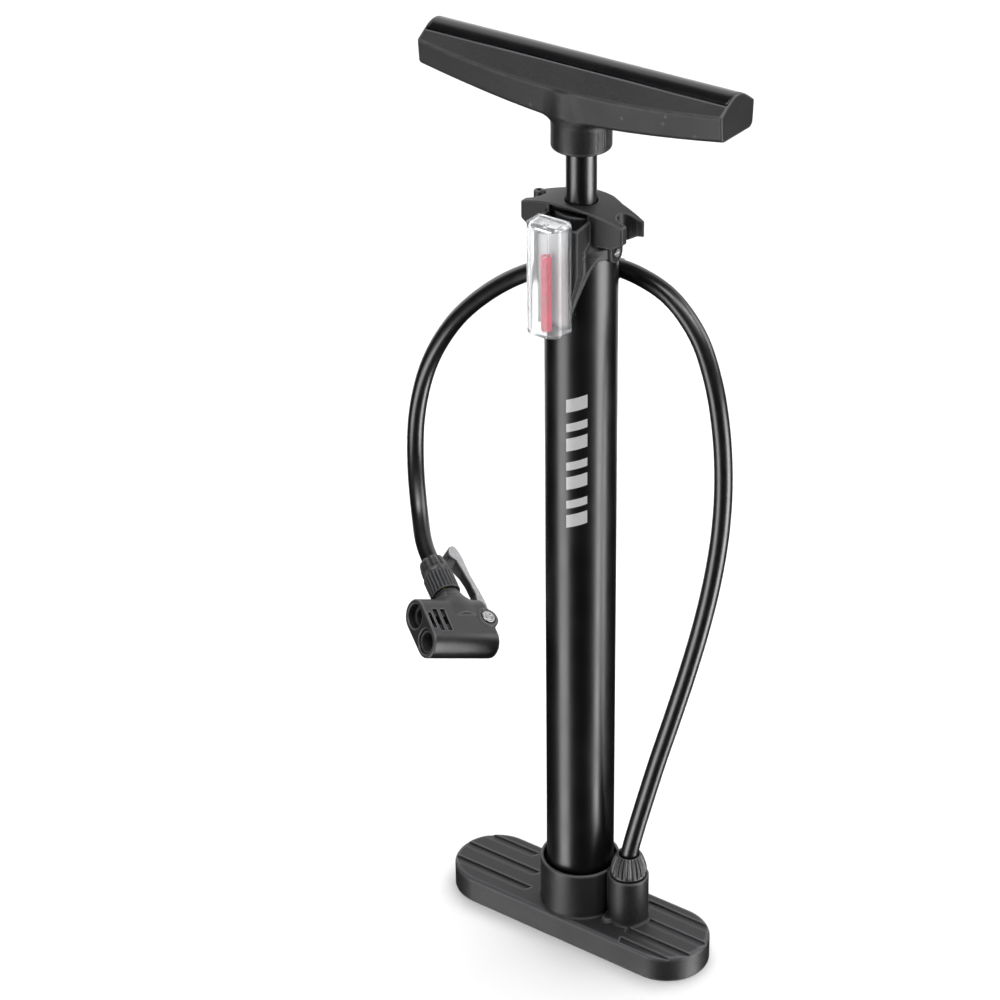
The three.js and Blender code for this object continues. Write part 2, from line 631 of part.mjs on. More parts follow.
function handleBody() {
  const outlines = gripStations(0).map((x) => {
    const front = gripSection(x);
    const rear = [...front].reverse();
    return [...front.map(([y, z]) => [x, -y, z]), ...rear.map(([y, z]) => [x, y, z])];
  });
  const grip = loft(outlines);
  const { bossRadius, bossBottom } = HANDLE;
  const bossProfile = [
    [0, bossBottom], [bossRadius - 1, bossBottom], [bossRadius, bossBottom + 1.4], [bossRadius, 505],
    [0, 505],
  ];
  const boss = turned(bossProfile, 48);
  const flareProfile = [[0, 489], [bossRadius - 0.2, 489], [16.4, 494], [19, 498], [23, 501], [0, 502]];
  const flare = turned(flareProfile, 36);
  const throat = flare.intersect(box(-30, 30, -13.6, 13.6, 480, 504));
  const shoulderOutline = new THREE.Shape();
  shoulderOutline.absellipse(0, 0, 11.5, 17.6, 0, 2 * Math.PI, false, 0);
  const shoulder = plate(shoulderOutline, 495, 513.5, 16);
  const rodSocket = rod(ROD.radius + GAP, 470, 506, 32);
  const screwHole = rod(3.3, 500, 530, 16);
  const screwSeat = rod(6.2, 517, 530, 20);
  const solidHandle = union(grip, boss, throat, shoulder, endWall(-1), endWall(1));
  return cut(solidHandle, rodSocket, screwHole, screwSeat);
}

function handleStrip() {
  const { halfWidth, bottom, endInset } = STRIP;
  const outlines = gripStations(endInset).map((x) => {
    const crown = crownLine().map(([y, z]) => [x, y, z]);
    return [[x, halfWidth, bottom], [x, -halfWidth, bottom], ...crown];
  });
  return loft(outlines);
}

add('handle_body', handleBody(), FINISH.charcoal);
add('handle_strip', handleStrip(), FINISH.glossBlack);
add('rod_insert', ring(6.5, 2.8, 488, 505.2, 20), FINISH.steel);
const handleScrewProfile = [
  [0, 492], [2.5, 492], [2.5, 517.3], [5.6, 517.3], [5.6, 520], [4.8, 521.4], [0, 521.4],
];
add('handle_screw', turned(handleScrewProfile, 16), FINISH.steel);

// ---- pump head, in its own axes -----------------------------------------------------------------------
// X runs from the port faces into the head, Z from the lower port to the upper one and on along the hose,
// and -Y is the side with the lever pin's head.

const headGroup = new THREE.Group();
const headX = new THREE.Vector3(0.3671, 0.871, -0.3263).normalize();
const towardsHose = new THREE.Vector3(-0.787, 0.4779, 0.3903);
const headY = towardsHose.clone().cross(headX).normalize();
const headZ = headX.clone().cross(headY);
headGroup.quaternion.setFromRotationMatrix(new THREE.Matrix4().makeBasis(headX, headY, headZ));
headGroup.position.set(...HEAD.origin);
pump.add(headGroup);

const PORT = { lower: 7.1, upper: 6.9, seat: 11 };

function headHull(x0, x1) {
  const { radius, lowerRadius, portGap } = HEAD;
  const lower = bar([x0, 0, 0], [x1, 0, 0], lowerRadius, 28);
  const upper = bar([x0, 0, portGap], [x1, 0, portGap], radius, 28);
  return union(lower, upper, box(x0, x1, -lowerRadius, lowerRadius, 0, portGap));
}

function headBody() {
  const { length, radius, portGap, glandX, pinX, pinZ, pinHead, ear } = HEAD;
  const { slotHalf, slotX, slotFloor } = HEAD;
  const block = headHull(0, length);
  // Each slot is deeper between the bores, where there is room for it.
  const slotPlaces = [[1.6, 3.8, 2.6, 13], [5.5, 8.4, 0.8, 15.5], [10.5, 13.4, 0.8, 15.5]];
  const slots = slotPlaces.flatMap(([x0, x1, z0, z1]) => [
    box(x0, x1, -12, -7.7, z0, z1),
    box(x0, x1, -12, -5, 6.3, 11.6),
  ]);
  const ears = bar([pinX, -radius - 0.2, pinZ], [pinX, radius + 0.2, pinZ], ear, 32);
  const neckProfile = [
    [0, 20.6], [9.3, 20.6], [9.3, 25], [8.6, 28.5], [7.6, 31], [7.3, 32.9], [0, 32.9],
  ];
  const slot = box(slotX, 60, -slotHalf, slotHalf, slotFloor, 40);
  const yokePocket = box(slotX, slotX + 4, -slotHalf, slotHalf, -slotHalf, 40);
  const body = union(cut(union(block, ears), slot, yokePocket), turned(neckProfile, 28, glandX));
  const lowerBore = bar([-1, 0, 0], [slotX - 3, 0, 0], PORT.lower, 24);
  const upperBore = bar([-1, 0, portGap], [slotX - 3, 0, portGap], PORT.upper, 24);
  const stems = [0, portGap].map((z) => bar([20, 0, z], [slotX + 0.5, 0, z], 2.8, 14));
  const pinHole = bar([pinX, -20, pinZ], [pinX, 20, pinZ], 2.3, 20);
  const pinSeat = bar([pinX, -20, pinZ], [pinX, -radius + 0.9, pinZ], pinHead + 0.4, 24);
  const airway = rod(1.9, 0, 40, 16, glandX);
  const neckSeat = rod(5, 30.4, 40, 24, glandX);
  return cut(body, ...slots, lowerBore, upperBore, ...stems, pinHole, pinSeat, airway, neckSeat);
}

function portSeal(z, outer, inner, x0, x1) {
  const lip = 0.5;
  const profile = [
    [inner + lip, x0], [outer, x0], [outer, x1], [inner, x1], [inner, x0 + lip], [inner + lip, x0],
  ];
  const points = profile.map(([radius, x]) => new THREE.Vector2(radius, x));
  const geometry = new THREE.LatheGeometry(points, 24);
  geometry.rotateZ(-Math.PI / 2);
  geometry.translate(0, 0, z);
  return solid(geometry);
}

function headPlunger() {
  const { portGap } = HEAD;
  const discs = [0, portGap].map((z) => bar([PORT.seat + 1.6, 0, z], [PORT.seat + 4, 0, z], 6.2, 20));
  const stems = [0, portGap].map((z) => bar([PORT.seat + 3, 0, z], [35, 0, z], 2.4, 12));
  const yoke = box(34.7, 36, -3, 3, -3, portGap + 2.4);
  const passages = [0, portGap].map((z) => bar([5, 0, z], [PORT.seat + 12, 0, z], 1, 8));
  const vents = [0, portGap].map((z) => bar([20, -4, z], [20, 4, z], 0.9, 8));
  return cut(union(...discs, ...stems, yoke), ...passages, ...vents);
}

function headNut() {
  const { glandX } = HEAD;
  const outside = [[0, 33.3], [8.5, 33.3], [8.65, 34.2], [8.65, 46.2], [8.2, 46.8], [0, 46.8]];
  const blank = turned(outside, 32, glandX);
  const flutes = 16;
  const grooves = [];
  for (let i = 0; i < flutes; i += 1) {
    const angle = (2 * Math.PI * (i + 0.5)) / flutes;
    const [x, y] = [glandX + 9.05 * Math.cos(angle), 9.05 * Math.sin(angle)];
    grooves.push(bar([x, y, 32], [x, y, 48], 0.95, 4));
  }
  const bore = turned([[0, 32], [5.6, 32], [5.6, 36.2], [5.3, 36.8], [5.3, 50], [0, 50]], 16, glandX);
  return cut(blank, ...grooves, bore);
}

/** Gripping collar that closes on the hose: eight fingers that taper upwards. */
function hoseCollar() {
  const { glandX } = HEAD;
  const outside = [[0, 47.1], [7.6, 47.1], [8.1, 49], [8, 52], [7.2, 56], [6.4, 57.4], [0, 57.4]];
  const blank = turned(outside, 24, glandX);
  const bore = turned([[0, 46], [5.3, 46], [5.4, 50], [6, 58.5], [0, 58.5]], 16, glandX);
  const grooves = [];
  for (let i = 0; i < 8; i += 1) {
    const angle = (2 * Math.PI * (i + 0.5)) / 8;
    const at = (radius, z) => [glandX + radius * Math.cos(angle), radius * Math.sin(angle), z];
    grooves.push(bar(at(8.6, 48.6), at(7.6, 59), 0.9, 4));
  }
  return cut(blank, ...grooves, bore);
}

function headBarb() {
  const profile = [
    [BARB.bore, 31], [4.6, 31], [4.6, 35.8], [BARB.radius, 35.8], [BARB.radius, 45.5], [BARB.bore, 45.5],
    [BARB.bore, 31],
  ];
  return turned(profile, 16, HEAD.glandX);
}

const CAM = { low: 4.35, high: 5.75 };

/** Lever seen along its pin: cam round the pin, a bent arm and a finger pad that hooks towards the hose. */
function leverOutline() {
  const { pinX, pinZ } = HEAD;
  const cam = [];
  for (let i = 0; i <= 12; i += 1) {
    const turn = i / 12;
    const angle = Math.PI + turn * Math.PI;
    const radius = Math.min(CAM.high, CAM.low + (CAM.high - CAM.low) * turn * 2);
    cam.push([pinX + radius * Math.cos(angle), pinZ + radius * Math.sin(angle)]);
  }
  const arm = [
    [48.4, 16], [50, 24.6], [49.6, 32], [45.6, 62.5], [44.6, 65.2], [42.8, 66.2], [40.8, 65.4],
    [38.4, 62.6], [37.6, 59.5], [38.6, 57.6], [41.2, 55], [43.4, 48], [44.8, 40], [45.1, 32], [43.6, 25],
    [41.2, 18.5], [38.4, 13.6],
  ];
  return shapeOf([...cam, ...arm]);
}

function lever() {
  const { pinX, pinZ } = HEAD;
  const outline = leverOutline();
  const blade = slab(outline, -3, 3);
  const pad = slab(outline, -4.6, 4.6).intersect(box(30, 60, -6, 6, 57, 70));
  const taper = slab(outline, -4.6, 4.6).intersect(layered([
    [[30, -3, 46], [60, -3, 46], [60, 3, 46], [30, 3, 46]],
    [[30, -4.6, 57], [60, -4.6, 57], [60, 4.6, 57], [30, 4.6, 57]],
  ]));
  const pinHole = bar([pinX, -10, pinZ], [pinX, 10, pinZ], 2.3, 20);
  return cut(union(blade, pad, taper), pinHole);
}

function leverPin() {
  const { pinX, pinZ, pinHead, radius } = HEAD;
  const shaft = bar([pinX, -radius + 1.3, pinZ], [pinX, radius + 0.6, pinZ], 2, 20);
  const head = bar([pinX, -radius - 0.7, pinZ], [pinX, -radius + 0.6, pinZ], pinHead, 24);
  return union(shaft, head, bar([pinX, -radius, pinZ], [pinX, -radius + 2, pinZ], 2, 20));
}

add('head_body', headBody(), FINISH.charcoal, headGroup);
add('head_seal_lower', portSeal(0, PORT.lower - GAP, 5.2, 0.8, PORT.seat), FINISH.rubber, headGroup);
add('head_seal_upper', portSeal(HEAD.portGap, PORT.upper - GAP, 4.2, 4, PORT.seat), FINISH.rubber, headGroup);
add('head_plunger', headPlunger(), FINISH.brass, headGroup);
add('head_barb', headBarb(), FINISH.brass, headGroup);
add('head_nut', headNut(), FINISH.charcoal, headGroup);
add('hose_collar', hoseCollar(), FINISH.charcoal, headGroup);
add('lever', lever(), FINISH.silverPlastic, headGroup);
add('lever_pin', leverPin(), FINISH.steel, headGroup);

export default pump;
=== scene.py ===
import math

import bpy
import numpy as np
from mathutils import Matrix, Vector


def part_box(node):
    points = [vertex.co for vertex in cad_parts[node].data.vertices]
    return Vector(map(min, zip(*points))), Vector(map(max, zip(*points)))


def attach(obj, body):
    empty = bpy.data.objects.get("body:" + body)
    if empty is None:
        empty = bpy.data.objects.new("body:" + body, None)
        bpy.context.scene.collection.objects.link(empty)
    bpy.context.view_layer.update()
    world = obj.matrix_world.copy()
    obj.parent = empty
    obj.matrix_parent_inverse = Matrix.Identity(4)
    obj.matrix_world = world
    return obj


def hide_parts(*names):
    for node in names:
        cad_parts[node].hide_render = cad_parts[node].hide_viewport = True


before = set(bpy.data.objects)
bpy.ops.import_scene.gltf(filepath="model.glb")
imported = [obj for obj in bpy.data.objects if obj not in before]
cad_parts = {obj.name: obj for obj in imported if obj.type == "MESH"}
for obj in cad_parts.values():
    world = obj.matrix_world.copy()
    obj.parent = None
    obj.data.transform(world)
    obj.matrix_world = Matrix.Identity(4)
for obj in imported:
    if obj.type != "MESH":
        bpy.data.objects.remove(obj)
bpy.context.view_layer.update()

# Looks for the floor pump. Shapes are worked out in millimetres and written to meshes in metres.

MM = 0.001
SCENE = bpy.context.scene


def mm_box(node):
    """Lowest and highest corner of a CAD node, in millimetres."""
    low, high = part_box(node)
    return np.array(low) / MM, np.array(high) / MM


# ---- camera ---------------------------------------------------------------------------------------------

VIEW = {"azimuth": 36.68, "elevation": 29.91, "roll": -0.80, "distance": 1.58022, "lens": 107.34}
VIEW_TARGET = {"along": -0.04288, "height": 0.27751}


def view_axes():
    """The camera's right, up and backward directions."""
    azimuth, elevation, roll = (math.radians(VIEW[key]) for key in ("azimuth", "elevation", "roll"))
    level = Vector((math.cos(azimuth), math.sin(azimuth), 0))
    flat = math.cos(elevation)
    back = Vector((math.sin(azimuth) * flat, -math.cos(azimuth) * flat, math.sin(elevation)))
    upright = back.cross(level)
    right = level * math.cos(roll) + upright * math.sin(roll)
    return right, back.cross(right), back, level


def make_camera():
    right, up, back, level = view_axes()
    data = bpy.data.cameras.new("camera")
    data.lens = VIEW["lens"]
    data.sensor_width = 36
    data.clip_end = 20
    camera = bpy.data.objects.new("camera", data)
    SCENE.collection.objects.link(camera)
    target = level * VIEW_TARGET["along"] + Vector((0, 0, VIEW_TARGET["height"]))
    turn = Matrix((right, up, back)).transposed().to_4x4()
    camera.matrix_world = Matrix.Translation(target + back * VIEW["distance"]) @ turn
    SCENE.camera = camera


make_camera()


# ---- materials ------------------------------------------------------------------------------------------


class Shader:
    """A node material under construction: its Principled shader, and short ways to feed it."""

    def __init__(self, name, color, roughness, **sockets):
        self.material = bpy.data.materials.new(name)
        self.material.use_nodes = True
        self.material.diffuse_color = (*color, 1)
        self.nodes = self.material.node_tree.nodes
        self.links = self.material.node_tree.links
        self.main = self.nodes["Principled BSDF"]
        self.set("Base Color", (*color, 1))
        self.set("Roughness", roughness)
        for socket, value in sockets.items():
            self.set(socket.replace("_", " ").title().replace("Ior", "IOR"), value)
        self.place = self.nodes.new("ShaderNodeTexCoord").outputs["Object"]

    def set(self, socket, value):
        self.main.inputs[socket].default_value = value

    def feed(self, output, socket):
        self.links.new(output, self.main.inputs[socket])

    def noise(self, scale, detail=3.0, roughness=0.55, stretch=None):
        """Noise of the given scale per metre, on the object's own coordinates."""
        node = self.nodes.new("ShaderNodeTexNoise")
        node.inputs["Scale"].default_value = scale
        node.inputs["Detail"].default_value = detail
        node.inputs["Roughness"].default_value = roughness
        place = self.place
        if stretch:
            mapping = self.nodes.new("ShaderNodeMapping")
            mapping.inputs["Scale"].default_value = stretch
            self.links.new(place, mapping.inputs["Vector"])
            place = mapping.outputs["Vector"]
        self.links.new(place, node.inputs["Vector"])
        return node.outputs["Fac"]

    def ranged(self, value, low, high, to_low, to_high):
        node = self.nodes.new("ShaderNodeMapRange")
        ends = (("From Min", low), ("From Max", high), ("To Min", to_low), ("To Max", to_high))
        for socket, number in ends:
            node.inputs[socket].default_value = number
        self.links.new(value, node.inputs["Value"])
        return node.outputs["Result"]

    def blend(self, factor, first, second):
        """Mix of two colours, each a tuple or an output."""
        node = self.nodes.new("ShaderNodeMix")
        node.data_type = "RGBA"
        self.links.new(factor, node.inputs["Factor"])
        for socket, color in ((node.inputs[6], first), (node.inputs[7], second)):
            if isinstance(color, tuple):
                socket.default_value = (*color, 1)
            else:
                self.links.new(color, socket)
        return node.outputs[2]

    def math(self, operation, first, second):
        node = self.nodes.new("ShaderNodeMath")
        node.operation = operation
        for socket, value in zip(node.inputs, (first, second)):
            if isinstance(value, (int, float)):
                socket.default_value = value
            else:
                self.links.new(value, socket)
        return node.outputs["Value"]

    def edges(self, start=0.503, end=0.525):
        """1 on convex edges and 0 elsewhere: the mask for painted edge highlights."""
        return self.ranged(self.nodes.new("ShaderNodeNewGeometry").outputs["Pointiness"], start, end, 0, 1)

    def crevice_shade(self, reach=4.0, darkest=0.04):
        """Painted shade: grey colour, dark where the surface is hemmed in within a few millimetres and white
        elsewhere.
        """
        node = self.nodes.new("ShaderNodeAmbientOcclusion")
        node.samples = 12
        node.inputs["Distance"].default_value = reach * MM
        return self.ranged(node.outputs["AO"], 0.35, 0.9, darkest, 1)

    def dimmed(self, color, factor):
        """The colour times a single value."""
        node = self.nodes.new("ShaderNodeMix")
        node.data_type = "RGBA"
        node.blend_type = "MULTIPLY"
        node.inputs["Factor"].default_value = 1
        self.links.new(color, node.inputs[6])
        self.links.new(factor, node.inputs[7])
        return node.outputs[2]

    def bump(self, *heights):
        """Bumps from (height output, strength, distance in metres) rows, one over the other."""
        normal = None
        for height, strength, distance in heights:
            node = self.nodes.new("ShaderNodeBump")
            node.inputs["Strength"].default_value = strength
            node.inputs["Distance"].default_value = distance
            self.links.new(height, node.inputs["Height"])
            if normal:
                self.links.new(normal, node.inputs["Normal"])
            normal = node.outputs["Normal"]
        self.feed(normal, "Normal")


def shade(color, factor):
    return tuple(min(1.0, channel * factor) for channel in color)


def moulded(name, color, roughness, grain=0.5, edge_highlight=5.0, gloss=0.3):
    """Moulded plastic: spark-eroded grain, faint flow marks, convex edges painted lighter as a highlight, and
    crevices painted darker as shade.
    """
    s = Shader(name, color, roughness, specular_ior_level=gloss)
    fine = s.noise(1500, 4, 0.7)
    coarse = s.noise(420, 2, 0.5)
    flow = s.noise(28, 3, 0.5)
    body = s.blend(s.ranged(flow, 0.3, 0.7, 0, 1), shade(color, 0.86), shade(color, 1.14))
    specked = s.blend(s.ranged(fine, 0.42, 0.62, 0, 1), body, shade(color, 1.8))
    # Painted light: convex edges are made lighter as a painted highlight, and the colour is dimmed in
    # crevices as painted shade.
    s.feed(s.dimmed(s.blend(s.edges(), specked, shade(color, edge_highlight)), s.crevice_shade()), "Base Color")
    s.feed(s.ranged(s.math("ADD", fine, flow), 0.8, 1.2, roughness - 0.06, roughness + 0.07), "Roughness")
    s.bump((fine, grain, 0.00012), (coarse, grain * 0.5, 0.0002))
    return s.material


def enamel(name, color, roughness, gloss=0.5, wave=0.05):
    """Sprayed and baked paint on metal, with faint orange peel."""
    s = Shader(name, color, roughness, specular_ior_level=gloss)
    peel = s.noise(160, 2, 0.5)
    dust = s.noise(2200, 3, 0.6)
    s.feed(s.blend(s.ranged(dust, 0.55, 0.72, 0, 1), color, shade(color, 1.6)), "Base Color")
    s.feed(s.ranged(s.noise(45, 3), 0.3, 0.7, roughness - 0.03, roughness + 0.04), "Roughness")
    s.bump((peel, wave, 0.0002))
    return s.material


def smooth_rubber(name, color, roughness, gloss=0.5):
    """Extruded rubber or PVC: faint cloudy marks and hardly any relief."""
    s = Shader(name, color, roughness, specular_ior_level=gloss)
    marks = s.noise(180, 2, 0.5)
    s.feed(s.blend(s.ranged(marks, 0.35, 0.65, 0, 1), shade(color, 0.85), shade(color, 1.2)), "Base Color")
    s.feed(s.ranged(marks, 0.3, 0.7, roughness - 0.02, roughness + 0.02), "Roughness")
    s.bump((marks, 0.02, 0.0001))
    return s.material


def metal(name, color, roughness, brush=(1, 1, 14), relief=0.08):
    """Turned, drawn or plated metal with fine tool marks."""
    s = Shader(name, color, roughness, metallic=1.0)
    marks = s.noise(900, 3, 0.6, brush)
    s.feed(s.blend(s.ranged(marks, 0.3, 0.7, 0, 1), shade(color, 0.85), shade(color, 1.1)), "Base Color")
    s.feed(s.ranged(marks, 0.3, 0.7, roughness - 0.07, roughness + 0.08), "Roughness")
    s.bump((marks, relief, 0.00005))
    return s.material


def clear_plastic(name):
    """Clear styrene with a faint haze and shallow ripples from its mould."""
    s = Shader(name, (0.96, 0.97, 0.98), 0.08, transmission_weight=0.92, ior=1.3)
    ripple = s.noise(110, 2, 0.4)
    s.feed(s.ranged(ripple, 0.3, 0.7, 0.04, 0.14), "Roughness")
    s.bump((ripple, 0.12, 0.0004))
    return s.material


def felt(name, color):
    s = Shader(name, color, 0.95, sheen_weight=0.5)
    fibres = s.noise(1800, 5, 0.75)
    s.feed(s.blend(fibres, shade(color, 0.6), shade(color, 1.3)), "Base Color")
    s.bump((fibres, 0.8, 0.0003))
    return s.material


CHARCOAL = (0.0132, 0.0132, 0.0141)
JET = (0.003, 0.003, 0.0034)
FINISH = {
    "moulded_black": moulded("moulded_black", CHARCOAL, 0.46),
    # The head's black is the moulded black made a tenth lighter: painted light, standing in for brighter
    # light falling on the head.
    "head_black": moulded("head_black", shade(CHARCOAL, 1.1), 0.4, grain=0.35, gloss=0.45),
    "gloss_black": enamel("gloss_black", JET, 0.22, wave=0.03),
    "barrel_paint": enamel("barrel_paint", JET, 0.31, gloss=0.5, wave=0.015),
    "rod_black": enamel("rod_black", JET, 0.32, gloss=0.75, wave=0.01),
    "hose_rubber": smooth_rubber("hose_rubber", JET, 0.32, gloss=0.7),
    "seal_rubber": smooth_rubber("seal_rubber", (0.014, 0.014, 0.014), 0.6),
    "clear_plastic": clear_plastic("clear_plastic"),
    "red_plastic": smooth_rubber("red_plastic", (0.52, 0.018, 0.06), 0.35),
    "silver_plastic": moulded("silver_plastic", (0.21, 0.21, 0.215), 0.36, grain=0.1, edge_highlight=1.5, gloss=0.5),
    "white_plastic": moulded("white_plastic", (0.52, 0.52, 0.515), 0.5, grain=0.15, edge_highlight=1.05, gloss=0.5),
    "steel": metal("steel", (0.56, 0.57, 0.58), 0.32),
    "pin_chrome": metal("pin_chrome", (0.42, 0.42, 0.42), 0.3, brush=(1, 1, 1), relief=0.01),
    "brass": metal("brass", (0.62, 0.46, 0.20), 0.35),
    "felt": felt("felt", (0.30, 0.29, 0.26)),
    "pale_mark": enamel("pale_mark", (0.82, 0.82, 0.82), 0.35),
}


# ---- making pieces --------------------------------------------------------------------------------------


def piece(name, points, faces, slot, body, *stands_for, place=None, finish=None):
    """Mesh object from points in millimetres, riding on a body and standing for CAD nodes."""
    points = np.asarray(points, float) * MM
    if place is not None:
        turn = np.array(place)
        points = points @ turn[:3, :3].T + turn[:3, 3]
    mesh = bpy.data.meshes.new(name)
    mesh.from_pydata(points.tolist(), [], [tuple(face) for face in faces])
    mesh.update()
    mesh.shade_smooth()
    mesh.materials.append(FINISH[finish or slot])
    made = bpy.data.objects.new(name, mesh)
    SCENE.collection.objects.link(made)
    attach(made, body)
    if stands_for:
        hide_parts(*stands_for)
    return made


def turned(profile, segments=96, centre=(0, 0), flute=None):
    """Closed skin turned about a vertical axis.

    The [radius, z] rows run round a ring or from axis to axis. flute(angle, radius, z) is a factor on the
    radius."""
    profile = np.array(profile, float)
    capped = profile[0][0] < 1e-9
    rows = profile[1:-1] if capped else profile
    angle = np.arange(segments) * 2 * math.pi / segments
    radius = np.repeat(rows[:, :1], segments, axis=1)
    height = np.repeat(rows[:, 1:], segments, axis=1)
    if flute:
        radius = radius * flute(angle[None, :], radius, height)
    skin = np.stack([centre[0] + radius * np.cos(angle), centre[1] + radius * np.sin(angle), height], -1)
    points = skin.reshape(-1, 3).tolist()
    count = len(rows)
    faces = []
    for row in range(count - 1 if capped else count):
        for k in range(segments):
            a, b = row * segments + k, row * segments + (k + 1) % segments
            c, d = (row + 1) % count * segments + (k + 1) % segments, (row + 1) % count * segments + k
            faces.append((a, b, c, d))
    if capped:
        for row, z, flip in ((0, profile[0][1], True), (count - 1, profile[-1][1], False)):
            points.append([centre[0], centre[1], z])
            for k in range(segments):
                a, b = row * segments + k, row * segments + (k + 1) % segments
                faces.append((len(points) - 1, b, a) if flip else (len(points) - 1, a, b))
    return points, faces


def eased(profile, radius=0.4, steps=3, closed=False):
    """The profile with each corner turned into a small round."""
    rows = [np.array(row, float) for row in profile]
    out = []
    for i, row in enumerate(rows):
        if not closed and i in (0, len(rows) - 1):
            out.append(row)
            continue
        before, after = rows[i - 1], rows[(i + 1) % len(rows)]
        back, ahead = before - row, after - row
        reach = min(radius, np.linalg.norm(back) * 0.45, np.linalg.norm(ahead) * 0.45)
        start, end = row + back / np.linalg.norm(back) * reach, row + ahead / np.linalg.norm(ahead) * reach
        for k in range(steps + 1):
            t = k / steps
            out.append((1 - t) ** 2 * start + 2 * t * (1 - t) * row + t * t * end)
    return out


# Solids as distance functions: negative inside, in millimetres. Their skins are sampled at these steps.

STEP = {"foot": 0.6, "cap": 0.5, "gauge": 0.42, "handle": 0.6, "head": 0.36, "lever": 0.32}


def within(a, b, radius=0.0):
    """Where both solids are, with the edge between them rounded."""
    if not radius:
        return np.maximum(a, b)
    corner = np.hypot(np.maximum(radius + a, 0), np.maximum(radius + b, 0))
    return np.minimum(-radius, np.maximum(a, b)) + corner


def joined(a, b, radius=0.0):
    """Both solids, with a fillet between them."""
    return -within(-a, -b, radius)


def carved(a, b, radius=0.0):
    """The first solid without the second, its new edge rounded."""
    return within(a, -b, radius)


def span(value, low, high):
    return np.maximum(low - value, value - high)


def block(x, y, z, low, high, radius=0.0):
    flat = within(span(x, low[0], high[0]), span(y, low[1], high[1]), radius)
    return within(flat, span(z, low[2], high[2]), radius)


def outline(u, v, points):
    """Distance to a closed outline in the plane."""
    distance = None
    inside = None
    for (au, av), (bu, bv) in zip(points, points[1:] + points[:1]):
        eu, ev, wu, wv = bu - au, bv - av, u - au, v - av
        along = np.clip((wu * eu + wv * ev) / (eu * eu + ev * ev), 0, 1)
        gap = (wu - eu * along) ** 2 + (wv - ev * along) ** 2
        distance = gap if distance is None else np.minimum(distance, gap)
        crosses = (av > v) != (bv > v)
        side = (wu * ev - wv * eu) * np.sign(ev) < 0 if ev else np.zeros_like(crosses)
        inside = (crosses & side) if inside is None else inside ^ (crosses & side)
    return np.where(inside, -1, 1) * np.sqrt(distance)


def skin_of(distance, low, high, step):
    """Points and quads of the surface where distance is zero, inside a box."""
    axes = [np.arange(a - 2 * step, b + 3 * step, step) for a, b in zip(low, high)]
    x, y, z = np.meshgrid(*axes, indexing="ij", sparse=True)
    field = np.broadcast_to(distance(x, y, z), [len(axis) for axis in axes])
    inside = field < 0
    corners = [(i, j, k) for i in (0, 1) for j in (0, 1) for k in (0, 1)]
    size = [n - 1 for n in field.shape]

    def shifted(array, corner):
        return array[tuple(slice(c, c + n) for c, n in zip(corner, size))]

    count = sum(shifted(inside, corner).astype(np.int8) for corner in corners)
    cells = np.argwhere((count > 0) & (count < 8))
    values = np.stack([field[tuple((cells + corner).T)] for corner in corners])
    total, hits = np.zeros((len(cells), 3)), np.zeros(len(cells))
    for a, first in enumerate(corners):
        for b, second in enumerate(corners):
            if b > a and sum(abs(p - q) for p, q in zip(first, second)) == 1:
                crossing = (values[a] < 0) != (values[b] < 0)
                t = np.where(crossing, values[a] / np.where(crossing, values[a] - values[b], 1), 0)
                at = np.array(first) + t[:, None] * (np.array(second) - np.array(first))
                total += at * crossing[:, None]
                hits += crossing
    origin = np.array([axis[0] for axis in axes])
    points = origin + (cells + total / hits[:, None]) * step
    points = settled(distance, points, step)
    number = np.full(size, -1)
    number[tuple(cells.T)] = np.arange(len(cells))
    faces = []
    for axis in range(3):
        one, two = [n for n in range(3) if n != axis]
        ahead = [slice(None)] * 3
        ahead[axis] = slice(1, None)
        behind = [slice(None)] * 3
        behind[axis] = slice(None, -1)
        first, second = inside[tuple(behind)], inside[tuple(ahead)]
        for change, flip in ((first & ~second, False), (~first & second, True)):
            at = np.argwhere(change)
            ring = []
            for du, dv in ((-1, -1), (0, -1), (0, 0), (-1, 0)):
                cell = at.copy()
                cell[:, one] += du
                cell[:, two] += dv
                ring.append(number[tuple(cell.T)])
            quad = np.stack(ring, 1)
            faces.append(quad[:, ::-1] if flip != (axis == 1) else quad)
    return points, np.concatenate(faces)


def settled(distance, points, step):
    """Moves each point onto the surface, along the distance's own slope."""
    first = points
    for _ in range(3):
        value = distance(*points.T)
        slope = np.empty_like(points)
        for axis in range(3):
            nudge = np.zeros(3)
            nudge[axis] = 0.05
            slope[:, axis] = (distance(*(points + nudge).T) - distance(*(points - nudge).T)) / 0.1
        length = np.maximum((slope * slope).sum(1), 0.25)
        move = -(value / length)[:, None] * slope
        reach = np.linalg.norm(move, axis=1, keepdims=True)
        points = points + move * np.minimum(1, 0.6 * step / np.maximum(reach, 1e-9))
    return first + np.clip(points - first, -0.5 * step, 0.5 * step)


# ---- foot -----------------------------------------------------------------------------------------------

FOOT = {"length": 83.6, "width": 24.5, "height": 16, "top_edge": 2.2}
TREAD = {"width": 5.4, "depth": 1.3, "slant": 0.45}
# Each tread is (side, its steep line's y, distance from the middle at which it starts).
TREADS = (
    (-1, 18, 42), (-1, 4, 31), (-1, -10.5, 27),
    (1, 18, 35), (1, 4.3, 45), (1, -9.3, 39), (1, -19, 41),
)
COLLAR = {"radius": 22.6, "top": 45.2, "bore": 19.3, "lip": 20.3, "floor": 7}
BOSS = {"x": 33.2, "radius": 11.35, "top": 45.7}
POCKET = {"wall": 3.2, "top": 11.5, "from": -26, "to": 42, "rib": 1.2,
          "ribs": (34.4, 42.8, 51.2, 59.6)}
PAD = {"x": 68, "y": 11.5, "radius": 5.3, "recess": 2.2, "boss": 7.6}


def stadium(x, y, length, width):
    return np.hypot(np.maximum(np.abs(x) - (length - width), 0), y) - width


